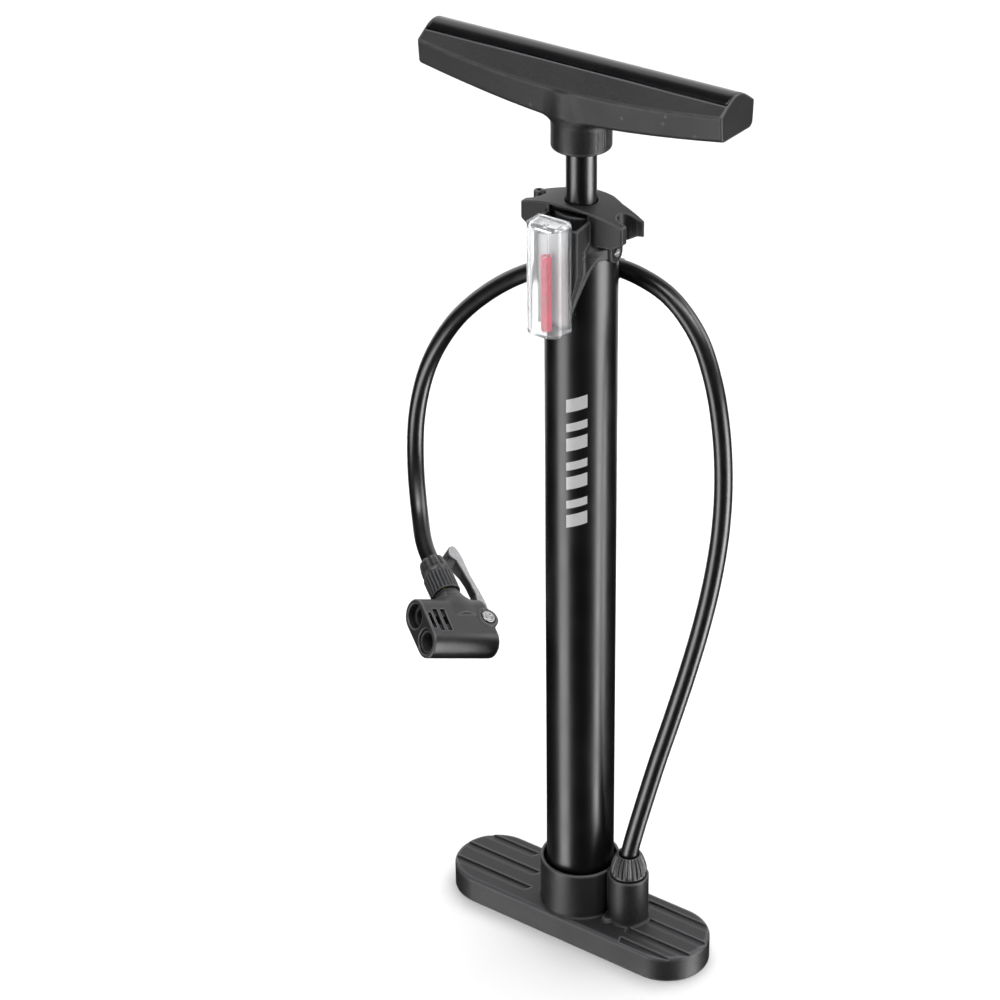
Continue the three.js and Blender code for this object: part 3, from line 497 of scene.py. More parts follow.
def tread_cuts(x, y, z):
    width, depth, slant = TREAD["width"], TREAD["depth"], TREAD["slant"]
    for side, line, start in TREADS:
        strip = np.maximum(span(y, line - width, line), start + (line - y) * slant - side * x)
        floor = FOOT["height"] - depth * (y - line + width) / width - z
        yield np.maximum(strip, floor)


def foot_pockets(x, y, z):
    wall = POCKET["wall"]
    hollow = within(stadium(x, y, FOOT["length"] - wall, FOOT["width"] - wall), z - POCKET["top"], 1)
    hollow = within(hollow, -span(x, POCKET["from"], POCKET["to"]), 1)
    for rib in POCKET["ribs"]:
        hollow = carved(hollow, np.abs(np.abs(x) - rib) - POCKET["rib"], 0.6)
    hollow = carved(hollow, np.abs(y) - POCKET["rib"], 0.6)
    return carved(hollow, np.hypot(np.abs(x) - PAD["x"], np.abs(y) - PAD["y"]) - PAD["boss"], 0.6)


def foot_shape(x, y, z):
    plan = stadium(x, y, FOOT["length"], FOOT["width"])
    plate = within(within(plan, z - FOOT["height"], FOOT["top_edge"]), -z, 0.7)
    for cut in tread_cuts(x, y, z):
        plate = carved(plate, cut, 0.1)
    plate = carved(plate, foot_pockets(x, y, z), 0.3)
    pad = np.hypot(np.abs(x) - PAD["x"], np.abs(y) - PAD["y"]) - PAD["radius"]
    plate = carved(plate, np.maximum(pad, z - PAD["recess"]), 0.2)
    axle, pipe = np.hypot(x, y), np.hypot(x - BOSS["x"], y)
    posts = joined(
        within(axle - COLLAR["radius"], z - COLLAR["top"], 0.7),
        within(pipe - BOSS["radius"], z - BOSS["top"], 0.7), 1.5)
    gusset = within(np.hypot(x - 25.6, y + 9.6) - 3.4, z - 17.8, 1.2)
    body = joined(plate, within(joined(posts, gusset, 0.8), 9 - z), 1.8)
    socket = np.minimum(
        np.maximum(axle - COLLAR["bore"], COLLAR["floor"] - z),
        np.maximum(axle - COLLAR["lip"] - 0.2 * (z - 43), 42 - z))
    bores = np.minimum(np.maximum(pipe - 6, 20 - z), np.maximum(pipe - 3, 3 - z))
    return carved(carved(body, socket, 0.5), bores, 0.3)


def make_foot():
    low, high = mm_box("foot_plate")
    points, faces = skin_of(foot_shape, low, high, STEP["foot"])
    piece("foot_plate_skin", points, faces, "moulded_black", "root", "foot_plate")


# ---- barrel ---------------------------------------------------------------------------------------------

BARREL = {"radius": 19, "bore": 17.5, "bottom": 9, "top": 428}
MARK = {"angle": -62, "from": 272, "to": 352, "half": 5.6, "thickness": 0.08, "bars": 7, "lean": 0.35}


def make_barrel():
    radius, bore, bottom, top = (BARREL[key] for key in ("radius", "bore", "bottom", "top"))
    ring = [(bore, bottom), (radius, bottom), (radius, 225), (radius, top), (bore, top), (bore, 225)]
    points, faces = turned(eased(ring, 0.4, closed=True), 144)
    piece("barrel_tube_skin", points, faces, "barrel_paint", "root", "barrel_tube")


def make_mark():
    """Plain slanted bars printed on the barrel, in a column under the gauge."""
    points, faces = [], []
    height = (MARK["to"] - MARK["from"]) / MARK["bars"]
    steps = 10
    for bar in range(MARK["bars"]):
        start = len(points)
        low = MARK["from"] + bar * height
        thick = height * (0.42 if bar % 2 else 0.66)
        for layer in (BARREL["radius"] - 0.3, BARREL["radius"] + MARK["thickness"]):
            for i in range(steps + 1):
                across = (i / steps * 2 - 1) * MARK["half"]
                turn = math.radians(MARK["angle"]) + across / BARREL["radius"]
                for z in (low, low + thick):
                    points.append((layer * math.cos(turn), layer * math.sin(turn), z + across * MARK["lean"]))
        half = 2 * (steps + 1)
        for i in range(steps):
            a = start + 2 * i
            faces += [(a + 2, a, a + 1, a + 3), (a + half, a + half + 2, a + half + 3, a + half + 1)]
            faces += [(a, a + 2, a + half + 2, a + half), (a + 3, a + 1, a + half + 1, a + half + 3)]
        end = start + 2 * steps
        faces += [(start + 1, start, start + half, start + half + 1)]
        faces += [(end, end + 1, end + half + 1, end + half)]
    made = piece("barrel_mark", points, faces, "white_plastic", "root", finish="pale_mark")
    made.data.shade_flat()


# ---- hose and its nut -----------------------------------------------------------------------------------

HOSE = {"radius": 4.85, "points_per_span": 6}
HOSE_ROUTE = (
    (0.0332, 0, 0.0485), (0.0332, 0, 0.055), (0.034, 0.0001, 0.062), (0.037, 0.0007, 0.076),
    (0.041, 0.0015, 0.093), (0.049, 0.0033, 0.126), (0.0574, 0.005, 0.158), (0.0654, 0.0068, 0.19),
    (0.0723, 0.0084, 0.221), (0.0776, 0.0098, 0.2515), (0.0804, 0.0114, 0.281), (0.08, 0.0133, 0.309),
    (0.076, 0.016, 0.336), (0.0683, 0.0195, 0.36), (0.056, 0.0235, 0.3805), (0.037, 0.0263, 0.396),
    (0.016, 0.027, 0.4026), (0, 0.027, 0.4034), (-0.019, 0.0269, 0.4), (-0.0525, 0.029, 0.3852),
    (-0.088, 0.0372, 0.3594), (-0.1196, 0.0459, 0.3271), (-0.1392, 0.049, 0.2942),
    (-0.1458, 0.0461, 0.2631), (-0.1416, 0.0383, 0.2364), (-0.1298, 0.0256, 0.2152),
    (-0.1164, 0.0122, 0.2046), (-0.1059, 0.005, 0.1989), (-0.0989, 0.0007, 0.1954),
    (-0.0934, -0.0026, 0.1927),
)


def hose_line():
    """Points along a centripetal Catmull-Rom curve through the route."""
    route = [Vector(point) for point in HOSE_ROUTE]
    route = [route[0] * 2 - route[1]] + route + [route[-1] * 2 - route[-2]]
    count = HOSE["points_per_span"]
    line = []
    for a, b, c, d in zip(route, route[1:], route[2:], route[3:]):
        gaps = [math.sqrt((q - p).length) for p, q in ((a, b), (b, c), (c, d))]
        leave = ((b - a) / gaps[0] - (c - a) / (gaps[0] + gaps[1]) + (c - b) / gaps[1]) * gaps[1]
        arrive = ((c - b) / gaps[1] - (d - b) / (gaps[1] + gaps[2]) + (d - c) / gaps[2]) * gaps[1]
        for k in range(count):
            t = k / count
            line.append(
                b * (2 * t ** 3 - 3 * t ** 2 + 1) + leave * (t ** 3 - 2 * t ** 2 + t)
                + c * (3 * t ** 2 - 2 * t ** 3) + arrive * (t ** 3 - t ** 2))
    return line + [route[-2]]


def make_hose():
    line = hose_line()
    curve = bpy.data.curves.new("hose_line", "CURVE")
    curve.dimensions = "3D"
    curve.bevel_depth = HOSE["radius"] * MM
    curve.bevel_resolution = 8
    curve.use_fill_caps = True
    spline = curve.splines.new("POLY")
    spline.points.add(len(line) - 1)
    for point, place in zip(spline.points, line):
        point.co = (*place, 1)
    spline.use_smooth = True
    curve.materials.append(FINISH["hose_rubber"])
    hose = bpy.data.objects.new("hose_line", curve)
    SCENE.collection.objects.link(hose)
    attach(hose, "root")
    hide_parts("hose")
    return hose, sum((b - a).length for a, b in zip(line, line[1:]))


def fluted(count, depth, sharpness=2.0, start=-1e9, end=1e9, fade=1.5):
    """Grooves round a turned piece, fading out above and below a stretch of its height."""

    def factor(angle, radius, z):
        groove = np.abs(np.cos(angle * count / 2)) ** sharpness
        reach = np.clip((z - start) / fade, 0, 1) * np.clip((end - z) / fade, 0, 1)
        return 1 - depth * groove * reach / radius

    return factor


def ribbed_nut(outer, inner, flute, rows=10):
    """Closed ring profile: the outer wall cut into short rows so that grooves can follow it."""
    walls = []
    for (ra, za), (rb, zb) in zip(outer, outer[1:]):
        for k in range(rows):
            walls.append((ra + (rb - ra) * k / rows, za + (zb - za) * k / rows))
    walls.append(outer[-1])
    ring = walls + list(reversed(inner))

    def outside_only(angle, radius, z):
        keep = np.zeros((len(ring), 1))
        keep[1:len(walls) - 1] = 1
        return 1 - keep * (1 - flute(angle, radius, z))

    return turned(ring, 192, flute=outside_only)


def make_base_nut():
    outer = [(9.2, 46.1), (10.0, 46.3), (10.2, 47.2), (10.2, 50.2)]
    outer += [(9.5, 53.2), (8.4, 56.4), (7.2, 58.9), (6.5, 59.4)]
    inner = [(6.2, 46.1), (6.2, 47.6), (5.5, 48.3), (5.5, 56), (5.9, 59.4)]
    points, faces = ribbed_nut(outer, inner, fluted(24, 0.75, 1.4, start=47.2, end=59.8), rows=5)
    points = [(x + BOSS["x"], y, z) for x, y, z in points]
    piece("base_nut_skin", points, faces, "head_black", "root", "base_hose_nut")


# ---- cap ------------------------------------------------------------------------------------------------

CAP = {"flange": 451, "plate": 433, "drop": 5.4, "tip": 31, "notch": 27.5, "notch_half": 4.9,
       "sleeve": 21.2, "hub": 13.8, "hub_top": 446.5, "bush": 11.5, "bush_top": 441, "rod": 8.3}
# Half of the flange seen from above, as (distance from the middle, y); it is the same on both sides.
FLANGE = [
    (-40, -12), (9, -12), (30.2, -9.7), (31, -8.9), (31, 5), (33, 5.7), (33.7, 6.5), (33, 7.4), (28.5, 8.4),
    (22.4, 9.7), (18, 10.6), (14.8, 12.1), (10.6, 13.8), (5, 14.4), (-40, 14.4),
]
TONGUE = [(-40, 428), (19, 428), (15, 420), (5, 388), (-40, 388)]
BRACKET = [(-40, 448), (13.4, 448), (13.4, 419.5), (5, 388), (-40, 388)]
SLEEVE = [(-40, 425), (21.2, 425), (21.2, 430.5), (15, 437), (-40, 437)]
POCKET_BOX = {"half": 11.7, "front": -21.8, "rear": -9, "bottom": 425, "lip": 449.2}
STUD = {"x": -30.6, "y": 6.4, "radius": 2.9, "top": 445.8, "dimple": 1.3}
SADDLE = {"y": 27, "z": 403.4, "bore": 5.65, "wall": 1.9, "half": 4}
TAB = {"z": 427, "half": 5.6, "from": 13.8, "to": 21.8, "hole": 1.5, "seat": 2.5, "seat_from": 21}


def flange_shape(x, y, z):
    ax = np.abs(x)
    top = z - CAP["flange"] + CAP["drop"] * (ax / CAP["tip"]) ** 2
    slope = np.hypot(1, 2 * CAP["drop"] * ax / CAP["tip"] ** 2)
    skirt = np.clip((ax - 25) / 5.5, 0, 1) * 3.2
    slab = within(outline(ax, y, FLANGE), top / slope, 0.8)
    slab = within(slab, CAP["plate"] + skirt - z, 0.5)
    notch = np.minimum(
        np.hypot(ax - CAP["notch"], y) - CAP["notch_half"],
        np.maximum(np.abs(y) - CAP["notch_half"], CAP["notch"] - ax))
    return carved(slab, notch, 0.6)


def saddle_shape(x, y, z):
    across = np.hypot(y - SADDLE["y"], z - SADDLE["z"])
    outer = SADDLE["bore"] + SADDLE["wall"]
    cup = within(across - outer, z - SADDLE["z"] - 2.4, 0.6)
    back = SADDLE["y"] - SADDLE["bore"] + 0.4
    hanger = np.maximum(span(y, 15, back), span(z, SADDLE["z"] - 3, 430))
    body = within(joined(cup, hanger, 1.2), np.abs(x) - SADDLE["half"], 0.6)
    mouth = np.maximum(np.abs(y - SADDLE["y"]) - SADDLE["bore"], SADDLE["z"] - z)
    return carved(body, np.minimum(across - SADDLE["bore"], mouth), 0.4)


def tab_shape(x, y, z):
    side = np.hypot(y, np.minimum(z - TAB["z"], 0)) - TAB["half"]
    return within(within(side, span(np.abs(x), TAB["from"], TAB["to"]), 0.7), z - 436)


def cap_shape(x, y, z):
    ax, rho = np.abs(x), np.hypot(x, y)
    half, front, rear = POCKET_BOX["half"], POCKET_BOX["front"], POCKET_BOX["rear"]
    pocket = block(x, y, z, (-half, front, POCKET_BOX["bottom"]), (half, rear, 470), 0.5)
    bracket = np.maximum(outline(ax, z, BRACKET), span(y, -23.2, rear))
    bracket = within(bracket, z - 446.3 - (y + 8) * 0.125, 0.4)
    flange = carved(flange_shape(x, y, z), np.maximum(pocket, z - POCKET_BOX["lip"]), 0.3)
    tongue = np.maximum(within(outline(ax, z, TONGUE), rho - CAP["sleeve"], 0.7), y)
    body = joined(flange, within(outline(rho, z, SLEEVE), rho - CAP["sleeve"], 0.5), 1.2)
    body = joined(body, within(rho - CAP["hub"], span(z, 430, CAP["hub_top"]), 0.6), 0.8)
    body = joined(body, tongue, 0.6)
    body = joined(body, carved(bracket, pocket, 0.4), 0.8)
    body = joined(body, tab_shape(x, y, z), 0.8)
    body = joined(body, saddle_shape(x, y, z), 1.0)
    across = np.hypot(x - STUD["x"], y - STUD["y"])
    stud = within(across - STUD["radius"], span(z, 438, STUD["top"]), 0.5)
    body = joined(body, stud, 0.4)
    body = carved(body, np.maximum(across - STUD["dimple"], STUD["top"] - 1 - z), 0.3)
    barrel = np.maximum(rho - 19.3, z - 429.6)
    bush = np.maximum(rho - CAP["bush"], z - CAP["bush_top"])
    body = carved(carved(carved(body, barrel, 0.3), bush), rho - CAP["rod"], 0.7)
    across = np.hypot(y, z - TAB["z"])
    screws = np.minimum(across - TAB["hole"], np.maximum(across - TAB["seat"], TAB["seat_from"] - ax))
    return carved(body, screws, 0.25)


def make_cap():
    low, high = mm_box("top_cap")
    points, faces = skin_of(cap_shape, low, high, STEP["cap"])
    piece("top_cap_skin", points, faces, "moulded_black", "root", "top_cap")


# ---- gauge ----------------------------------------------------------------------------------------------

GAUGE = {"half": 10.5, "back": -23.5, "front": -37.4, "bottom": 388.8, "top": 449.6, "corner": 7,
         "wall": 1.6, "floor": 390, "roof": 3, "front_bevel": 446.4, "side_bevel": 447.9, "bevel_slope": 0.75}
INDICATOR = {"y": -30.4, "radius": 2.6, "bore": 1.9, "bottom": 390.3, "top": 431.4, "hole_from": 400}


def cover_outline(x, y, inset):
    corner = GAUGE["corner"] - inset
    front = GAUGE["front"] + inset - y
    return within(np.abs(x) - GAUGE["half"] + inset, front, corner)


def cover_shape(x, y, z):
    plan = np.maximum(cover_outline(x, y, 0), y - GAUGE["back"])
    slope = GAUGE["bevel_slope"]
    front_bevel = (GAUGE["front"] - y + (z - GAUGE["front_bevel"]) * slope) / 1.25
    side_bevel = (np.abs(x) - GAUGE["half"] + (z - GAUGE["side_bevel"]) * slope) / 1.25
    shell = within(within(plan, z - GAUGE["top"], 0.2), np.maximum(front_bevel, side_bevel), 0.2)
    shell = within(shell, GAUGE["bottom"] - z, 0.8)
    inside = span(z, GAUGE["floor"], GAUGE["top"] - GAUGE["roof"])
    inside = np.maximum(cover_outline(x, y, GAUGE["wall"]), inside)
    shell = carved(shell, inside, 0.2)
    stem = np.hypot(x, y - INDICATOR["y"]) - 1.3
    return joined(shell, np.maximum(stem, span(z, 432.6, 448.6)), 0.3)


def make_gauge():
    low, high = mm_box("gauge_cover")
    points, faces = skin_of(cover_shape, low, high, STEP["gauge"])
    piece("gauge_cover_skin", points, faces, "clear_plastic", "root", "gauge_cover")
    radius, bore, bottom, top = (INDICATOR[key] for key in ("radius", "bore", "bottom", "top"))
    hole = INDICATOR["hole_from"]
    profile = [(0, bottom), (radius, bottom), (radius, top), (bore, top), (bore, hole), (0, hole)]
    points, faces = turned(eased(profile, 0.35), 64, centre=(0, INDICATOR["y"]))
    piece("gauge_indicator_skin", points, faces, "red_plastic", "indicator", "gauge_indicator")


# ---- rod and handle -------------------------------------------------------------------------------------

ROD = {"radius": 7.9, "bore": 6.8, "bottom": 63, "top": 505.6}
HANDLE = {"half": 90.4, "boss": 15.45, "boss_bottom": 479.6, "boss_top": 513, "seat": 8.5, "seat_top": 524.9,
          "seat_floor": 521.8, "gap": 0.3}
STRIP = {"half": 8.2, "length": 89.2, "bottom": 522.1, "side": 525, "crown": 528}


def make_rod():
    bore, radius, bottom, top = ROD["bore"], ROD["radius"], ROD["bottom"], ROD["top"]
    ring = [(bore, bottom), (radius, bottom), (radius, 280), (radius, top), (bore, top), (bore, 280)]
    points, faces = turned(eased(ring, 0.3, closed=True), 112)
    piece("piston_rod_skin", points, faces, "rod_black", "handle", "piston_rod")


def side_of(y, z, first, second):
    """Signed distance from the line between two (y, z) points; negative below and inside."""
    (ya, za), (yb, zb) = first, second
    length = np.hypot(yb - ya, zb - za)
    return ((y - ya) * (za - zb) + (z - za) * (yb - ya)) / length


def handle_shape(x, y, z):
    ax, ay = np.abs(x), np.abs(y)
    t = np.minimum(ax / HANDLE["half"], 1)
    crease = (14.7 + 3.3 * (1 - t * t), 520.6 - 5.9 * (1 - t * t))
    belly = 1 - t ** 1.5
    foot = (12.8 + 1.4 * belly, 507 - 10 * belly)
    upper = side_of(ay, z, (HANDLE["seat"], HANDLE["seat_top"]), crease)
    lower = side_of(ay, z, crease, (foot[0] + 0.9, foot[1]))
    grip = within(upper, lower, 0.8)
    grip = within(grip, foot[1] - z, 3.0)
    grip = within(grip, z - HANDLE["seat_top"], 0.1)
    channel = np.maximum(ay - HANDLE["seat"], HANDLE["seat_floor"] - z)
    channel = np.maximum(channel, ax - STRIP["length"] - HANDLE["gap"])
    grip = carved(grip, channel, 0.05)
    wall = np.maximum(crown_of(ay, z), np.maximum(519 - z, STRIP["length"] + HANDLE["gap"] - ax))
    grip = within(np.minimum(grip, wall), ax - HANDLE["half"], 0.7)
    rho = np.hypot(x, y)
    boss = within(rho - HANDLE["boss"] + boss_grooves(x, y, z), HANDLE["boss_bottom"] - z, 1.4)
    boss = within(boss, z - HANDLE["boss_top"], 2)
    shoulder = (np.hypot(x / 11.5, y / 17.2) - 1) * 11.5
    shoulder = within(within(shoulder, z - 513.5, 1), 499 - z, 2)
    body = joined(joined(grip, boss, 5.0), shoulder, 2.0)
    bores = np.minimum(np.maximum(rho - 8.2, z - 506), rho - 3.3)
    bores = np.minimum(bores, np.maximum(rho - 6.2, 517 - z))
    return carved(body, bores, 0.4)


def boss_grooves(x, y, z):
    """Depth of the fine upright grooves on one side of the boss."""
    angle = np.arctan2(y, x)
    window = np.clip((0.35 - np.abs(angle + 0.14)) / 0.06, 0, 1) * np.clip((z - 482) / 1.5, 0, 1)
    return 0.12 * window * np.clip((494 - z) / 3, 0, 1) * (1 + np.cos(angle * 60))


def crown_of(y, z):
    """Distance to the strip's arched top, and to the vertical planes of its two sides."""
    half = STRIP["half"]
    crown = STRIP["side"] + (STRIP["crown"] - STRIP["side"]) * (1 - (y / half) ** 2)
    return within(np.abs(y) - half, (z - crown) / 1.15, 0.5)


def strip_shape(x, y, z):
    body = within(crown_of(y, z), STRIP["bottom"] - z, 0.3)
    return within(body, np.abs(x) - STRIP["length"], 0.3)


def make_handle():
    low, high = mm_box("handle_body")
    points, faces = skin_of(handle_shape, low, high, STEP["handle"])
    piece("handle_body_skin", points, faces, "moulded_black", "handle", "handle_body")
    low, high = mm_box("handle_strip")
    points, faces = skin_of(strip_shape, low, high, STEP["handle"])
    piece("handle_strip_skin", points, faces, "gloss_black", "handle", "handle_strip")


# ---- pump head, in its own axes -------------------------------------------------------------------------
# X runs from the port faces into the head, Z from the lower port to the upper one and on along the hose.

HEAD_ORIGIN = (-71.1, -46, 185.6)
HEAD_ALONG = Vector((0.3671, 0.871, -0.3263)).normalized()
HEAD_TO_HOSE = Vector((-0.787, 0.4779, 0.3903))
HEAD = {"length": 44, "lower": 9.2, "upper": 9.5, "gap": 17.8, "gland": 27.3, "pin": (40.8, 10), "ear": 6.4,
        "pin_head": 4.1}
# Slots in the head's side, each (from x, to x, from z, to z).
HEAD_SLOTS = ((1.6, 3.8, 2.6, 13), (5.5, 8.4, 0.8, 15.5), (10.5, 13.4, 0.8, 15.5))
SLOT = {"x": 33, "half": 3.5, "floor": 2.8}
HEAD_BOX = ((0, -9.8, -9.3), (47.4, 9.8, 33))
LEVER_BOX = ((34, -5, 3), (51, 5, 67))


def head_place():
    across = HEAD_TO_HOSE.cross(HEAD_ALONG).normalized()
    turn = Matrix((HEAD_ALONG, across, HEAD_ALONG.cross(across))).transposed().to_4x4()
    return Matrix.Translation(Vector(HEAD_ORIGIN) * MM) @ turn


def neck_radius(z):
    return np.interp(z, [20.6, 25, 28.5, 31, 32.9], [9.3, 9.3, 8.6, 7.6, 7.3])


def head_shape(x, y, z):
    gap = HEAD["gap"]
    rise = np.clip(z, 0, gap)
    hull = np.hypot(y, z - rise) - HEAD["lower"] - (HEAD["upper"] - HEAD["lower"]) * rise / gap
    hull = within(within(hull, -x, 0.8), x - HEAD["length"], 2.4)
    pin_x, pin_z = HEAD["pin"]
    hinge = np.hypot(x - pin_x, z - pin_z)
    ears = within(hinge - HEAD["ear"], np.abs(y) - 9.7, 0.6)
    rho = np.hypot(x - HEAD["gland"], y)
    neck = within(rho - neck_radius(z), z - 32.9, 0.3)
    core = np.maximum(neck, 14 - z)
    body = joined(joined(hull, ears, 0.8), core, 3.5)
    slot = np.maximum(np.abs(y) - SLOT["half"], SLOT["x"] - x)
    slot = np.maximum(slot, np.minimum(SLOT["floor"] - z, np.maximum(x - SLOT["x"] - 4, -3.5 - z)))
    slot = np.maximum(slot, -np.maximum(neck, 20.6 - z))
    body = carved(body, slot, 0.4)
    for x0, x1, z0, z1 in HEAD_SLOTS:
        shallow = block(x, y, z, (x0, -15, z0), (x1, -7.7, z1), 0.2)
        deep = block(x, y, z, (x0, -15, 6.3), (x1, -5, 11.6), 0.2)
        body = carved(body, np.minimum(shallow, deep), 0.2)
    lower, upper = np.hypot(y, z), np.hypot(y, z - gap)
    ports = np.maximum(np.minimum(lower - 7.1, upper - 6.9), x - 30)
    stems = np.maximum(np.minimum(lower, upper) - 2.8, span(x, 20, 33.5))
    body = carved(body, np.minimum(ports, stems), 0.5)
    pin = np.minimum(hinge - 2.3, np.maximum(hinge - HEAD["pin_head"] - 0.4, y + 8.6))
    gland = np.minimum(np.maximum(rho - 1.9, -z), np.maximum(rho - 5, 30.4 - z))
    return carved(carved(body, pin, 0.35), gland, 0.2)


def lying(points, z):
    """Turns a piece built on the vertical axis to lie along X at height z."""
    return [(c, b, z - a) for a, b, c in points]


def lever_outline():
    pin_x, pin_z = HEAD["pin"]
    cam = []
    for i in range(25):
        turn = i / 24
        angle = math.pi + turn * math.pi
        radius = min(5.75, 4.35 + 2.8 * turn)
        cam.append((pin_x + radius * math.cos(angle), pin_z + radius * math.sin(angle)))
    outer = [(48.4, 16), (49.6, 20), (50, 24.6), (49.6, 32), (47.8, 46), (45.6, 62.5), (44.6, 65.2)]
    tip = [(42.8, 66.2), (40.8, 65.4), (38.4, 62.6), (37.6, 59.5), (38.6, 57.6), (41.2, 55)]
    inner = [(43.4, 48), (44.8, 40), (45.1, 32), (43.6, 25), (41.2, 18.5), (38.4, 13.6)]
    return cam + outer + tip + inner


LEVER = lever_outline()


def lever_shape(x, y, z):
    half = 3 + 1.6 * np.clip((z - 46) / 11, 0, 1)
    body = within(outline(x, z, LEVER), np.abs(y) - half, 0.8)
    pin_x, pin_z = HEAD["pin"]
    return carved(body, np.hypot(x - pin_x, z - pin_z) - 2.3, 0.2)


def make_lever(place):
    points, faces = skin_of(lever_shape, *LEVER_BOX, STEP["lever"])
    made = piece("lever_skin", points, faces, "silver_plastic", "thumb_lever", "lever", place=place)
    # Faces that point back against the head's X axis get the black finish: painted shade on the lever's inner
    # side, which is silver like the rest.
    made.data.materials.append(FINISH["head_black"])
    for polygon in made.data.polygons:
        polygon.material_index = 1 if polygon.normal.dot(HEAD_ALONG) < -0.3 else 0


def make_seal(name, node, z, outer, inner, start, end, place):
    ring = [(inner, start), (outer, start), (outer, end), (inner, end)]
    points, faces = turned(eased(ring, 0.5, closed=True), 72)
    piece(name, lying(points, z), faces, "seal_rubber", "root", node, place=place)


def make_head():
    place = head_place()
    points, faces = skin_of(head_shape, *HEAD_BOX, STEP["head"])
    piece("head_body_skin", points, faces, "head_black", "root", "head_body", place=place)
    make_seal("head_seal_lower_skin", "head_seal_lower", 0, 6.8, 5.2, 0.8, 11, place)
    make_seal("head_seal_upper_skin", "head_seal_upper", HEAD["gap"], 6.6, 4.2, 4, 11, place)
    outer = [(8.0, 33.3), (8.5, 33.5), (8.7, 34.3), (8.7, 40), (8.7, 45.8), (8.4, 46.6), (7.9, 46.8)]
    inner = [(5.7, 33.3), (5.7, 36.2), (5.4, 36.8), (5.4, 46.8)]
    points, faces = ribbed_nut(outer, inner, fluted(24, 0.75, 1.2, start=33.6, end=46.9, fade=1), rows=6)
    points = [(x + HEAD["gland"], y, z) for x, y, z in points]
    piece("head_nut_skin", points, faces, "head_black", "root", "head_nut", place=place)
    outer = [(7.2, 47.1), (7.7, 47.3), (8.1, 49), (8.0, 52), (7.3, 56), (6.8, 57.2), (6.3, 57.4)]
    inner = [(5.4, 47.1), (5.4, 50), (5.7, 57.4)]
    points, faces = ribbed_nut(outer, inner, fluted(8, 0.9, 6, start=48.5, end=60, fade=2), rows=6)
    points = [(x + HEAD["gland"], y, z) for x, y, z in points]
    piece("hose_collar_skin", points, faces, "head_black", "root", "hose_collar", place=place)
    make_lever(place)
    pin_x, pin_z = HEAD["pin"]
    profile = [(0, -10), (1.7, -10), (2, -9.9), (2.3, -10.2), (4, -10.2)]
    profile += [(4.1, -8.9), (2, -8.9), (2, 10.1), (0, 10.1)]
    points, faces = turned(eased(profile, 0.4), 48)
    points = [(x + pin_x, z, pin_z - y) for x, y, z in points]
    piece("lever_pin_skin", points, faces, "pin_chrome", "root", "lever_pin", place=place)


make_foot()
make_barrel()
make_mark()
make_base_nut()
make_cap()
make_gauge()
make_rod()
make_handle()
make_head()
hose, hose_length = make_hose()

# ---- CAD pieces that keep their own shape ---------------------------------------------------------------

KEPT = {
    "seal_rubber": ("rubber_foot_1", "rubber_foot_2", "rubber_foot_3", "rubber_foot_4", "barrel_gasket",
                    "cap_gasket", "piston_cup", "rod_bumper"),
    "steel": ("check_ball", "check_spring", "cap_screw_right", "cap_screw_left", "gauge_spring",
              "piston_washer", "piston_screw", "rod_insert", "handle_screw"),
    "brass": ("base_spigot", "head_barb", "head_plunger"),
    "white_plastic": ("rod_bush", "piston_body", "gauge_liner"),
    "felt": ("rod_wiper",),
}


def dress_kept():
    for slot, nodes in KEPT.items():
        for node in nodes:
            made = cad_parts[node]
            made.data.materials.clear()
            made.data.materials.append(FINISH[slot])
            bevel = made.modifiers.new("edges", "BEVEL")
            bevel.width = 0.15 * MM
            bevel.segments = 2
            bevel.angle_limit = math.radians(40)


dress_kept()

# ---- floor and light ------------------------------------------------------------------------------------

CENTRE = Vector((0, 0, 0.25))
FLOOR_GREY = (0.68, 0.68, 0.68)


def make_floor():
    mesh = bpy.data.meshes.new("floor")
    mesh.from_pydata([(-6, -6, 0), (6, -6, 0), (6, 6, 0), (-6, 6, 0)], [], [(0, 1, 2, 3)])
    floor = bpy.data.objects.new("floor", mesh)
    SCENE.collection.objects.link(floor)
    paint = Shader("floor", FLOOR_GREY, 0.9)
    mesh.materials.append(paint.material)
    floor.visible_glossy = False
    floor.visible_diffuse = False
    floor.visible_shadow = False


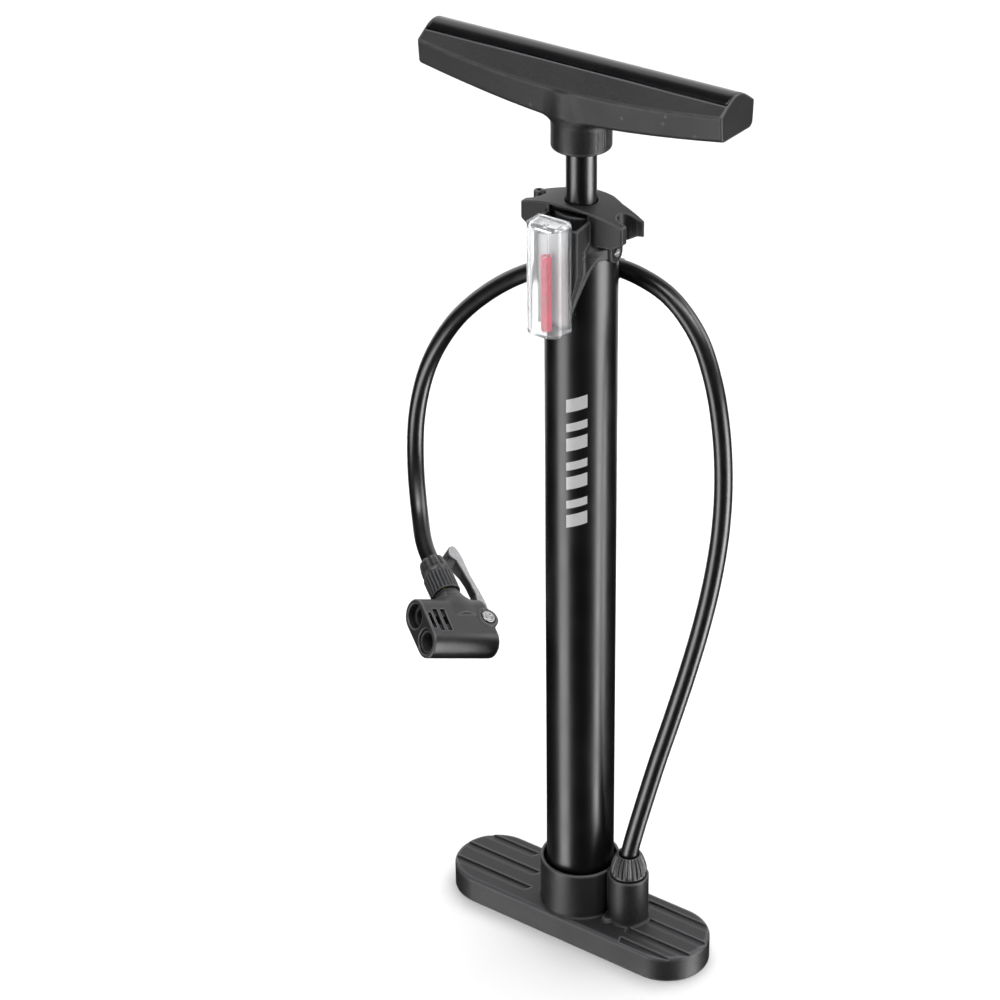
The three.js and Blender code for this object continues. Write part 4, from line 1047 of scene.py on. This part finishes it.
def make_light(name, azimuth, distance, height, size, radiance, look_at=None, diffuse=True, glossy=True):
    """Area light at an angle from the camera's side of the object, given by the brightness of its face."""
    front = -Vector((0, 0, 1)).cross(view_axes()[3])
    turn = Matrix.Rotation(math.radians(azimuth), 3, "Z")
    place = turn @ front * distance + Vector((0, 0, height))
    data = bpy.data.lights.new(name, "AREA")
    data.shape = "RECTANGLE"
    data.size, data.size_y = size
    data.energy = radiance * math.pi * size[0] * size[1]
    light = bpy.data.objects.new(name, data)
    SCENE.collection.objects.link(light)
    aim = (look_at or Vector((0, 0, height))) - place
    light.matrix_world = Matrix.Translation(place) @ aim.to_track_quat("-Z", "Y").to_matrix().to_4x4()
    light.visible_camera = False
    light.visible_diffuse = diffuse
    light.visible_glossy = glossy


def make_world(sky, ground):
    """Soft light from all round, fading from one brightness above the horizon to a lower one below it."""
    world = bpy.data.worlds.new("studio")
    world.use_nodes = True
    nodes, links = world.node_tree.nodes, world.node_tree.links
    direction = nodes.new("ShaderNodeTexCoord").outputs["Generated"]
    height = nodes.new("ShaderNodeSeparateXYZ")
    links.new(direction, height.inputs["Vector"])
    level = nodes.new("ShaderNodeMapRange")
    for socket, value in (("From Min", -0.15), ("From Max", 0.15), ("To Min", ground), ("To Max", sky)):
        level.inputs[socket].default_value = value
    links.new(height.outputs["Z"], level.inputs["Value"])
    links.new(level.outputs["Result"], nodes["Background"].inputs["Strength"])
    nodes["Background"].inputs["Color"].default_value = (1, 1, 1, 1)
    world.cycles_visibility.glossy = False
    SCENE.world = world


make_floor()
make_world(sky=0.8, ground=0.25)
make_light("left_strip", -60, 1.5, -0.8, (0.9, 2.4), 5.8, diffuse=False)
make_light("right_strip", 65, 1.5, -0.8, (0.9, 2.4), 9.5, diffuse=False)
make_light("side_panel", 100, 1.5, 1.2, (0.9, 1.2), 5, look_at=CENTRE, diffuse=False)
make_light("back_panel", 180, 1.6, 0.6, (3.4, 3.0), 1.2, look_at=CENTRE, diffuse=False)
make_light("high_strip", 0, 0.7, 2.0, (2.6, 0.5), 11, look_at=CENTRE, diffuse=False)
make_light("overhead", 160, 0.5, 1.9, (2.2, 2.2), 3.6, look_at=CENTRE, glossy=False)
SCENE.view_settings.view_transform = "Standard"
SCENE.view_settings.look = "None"
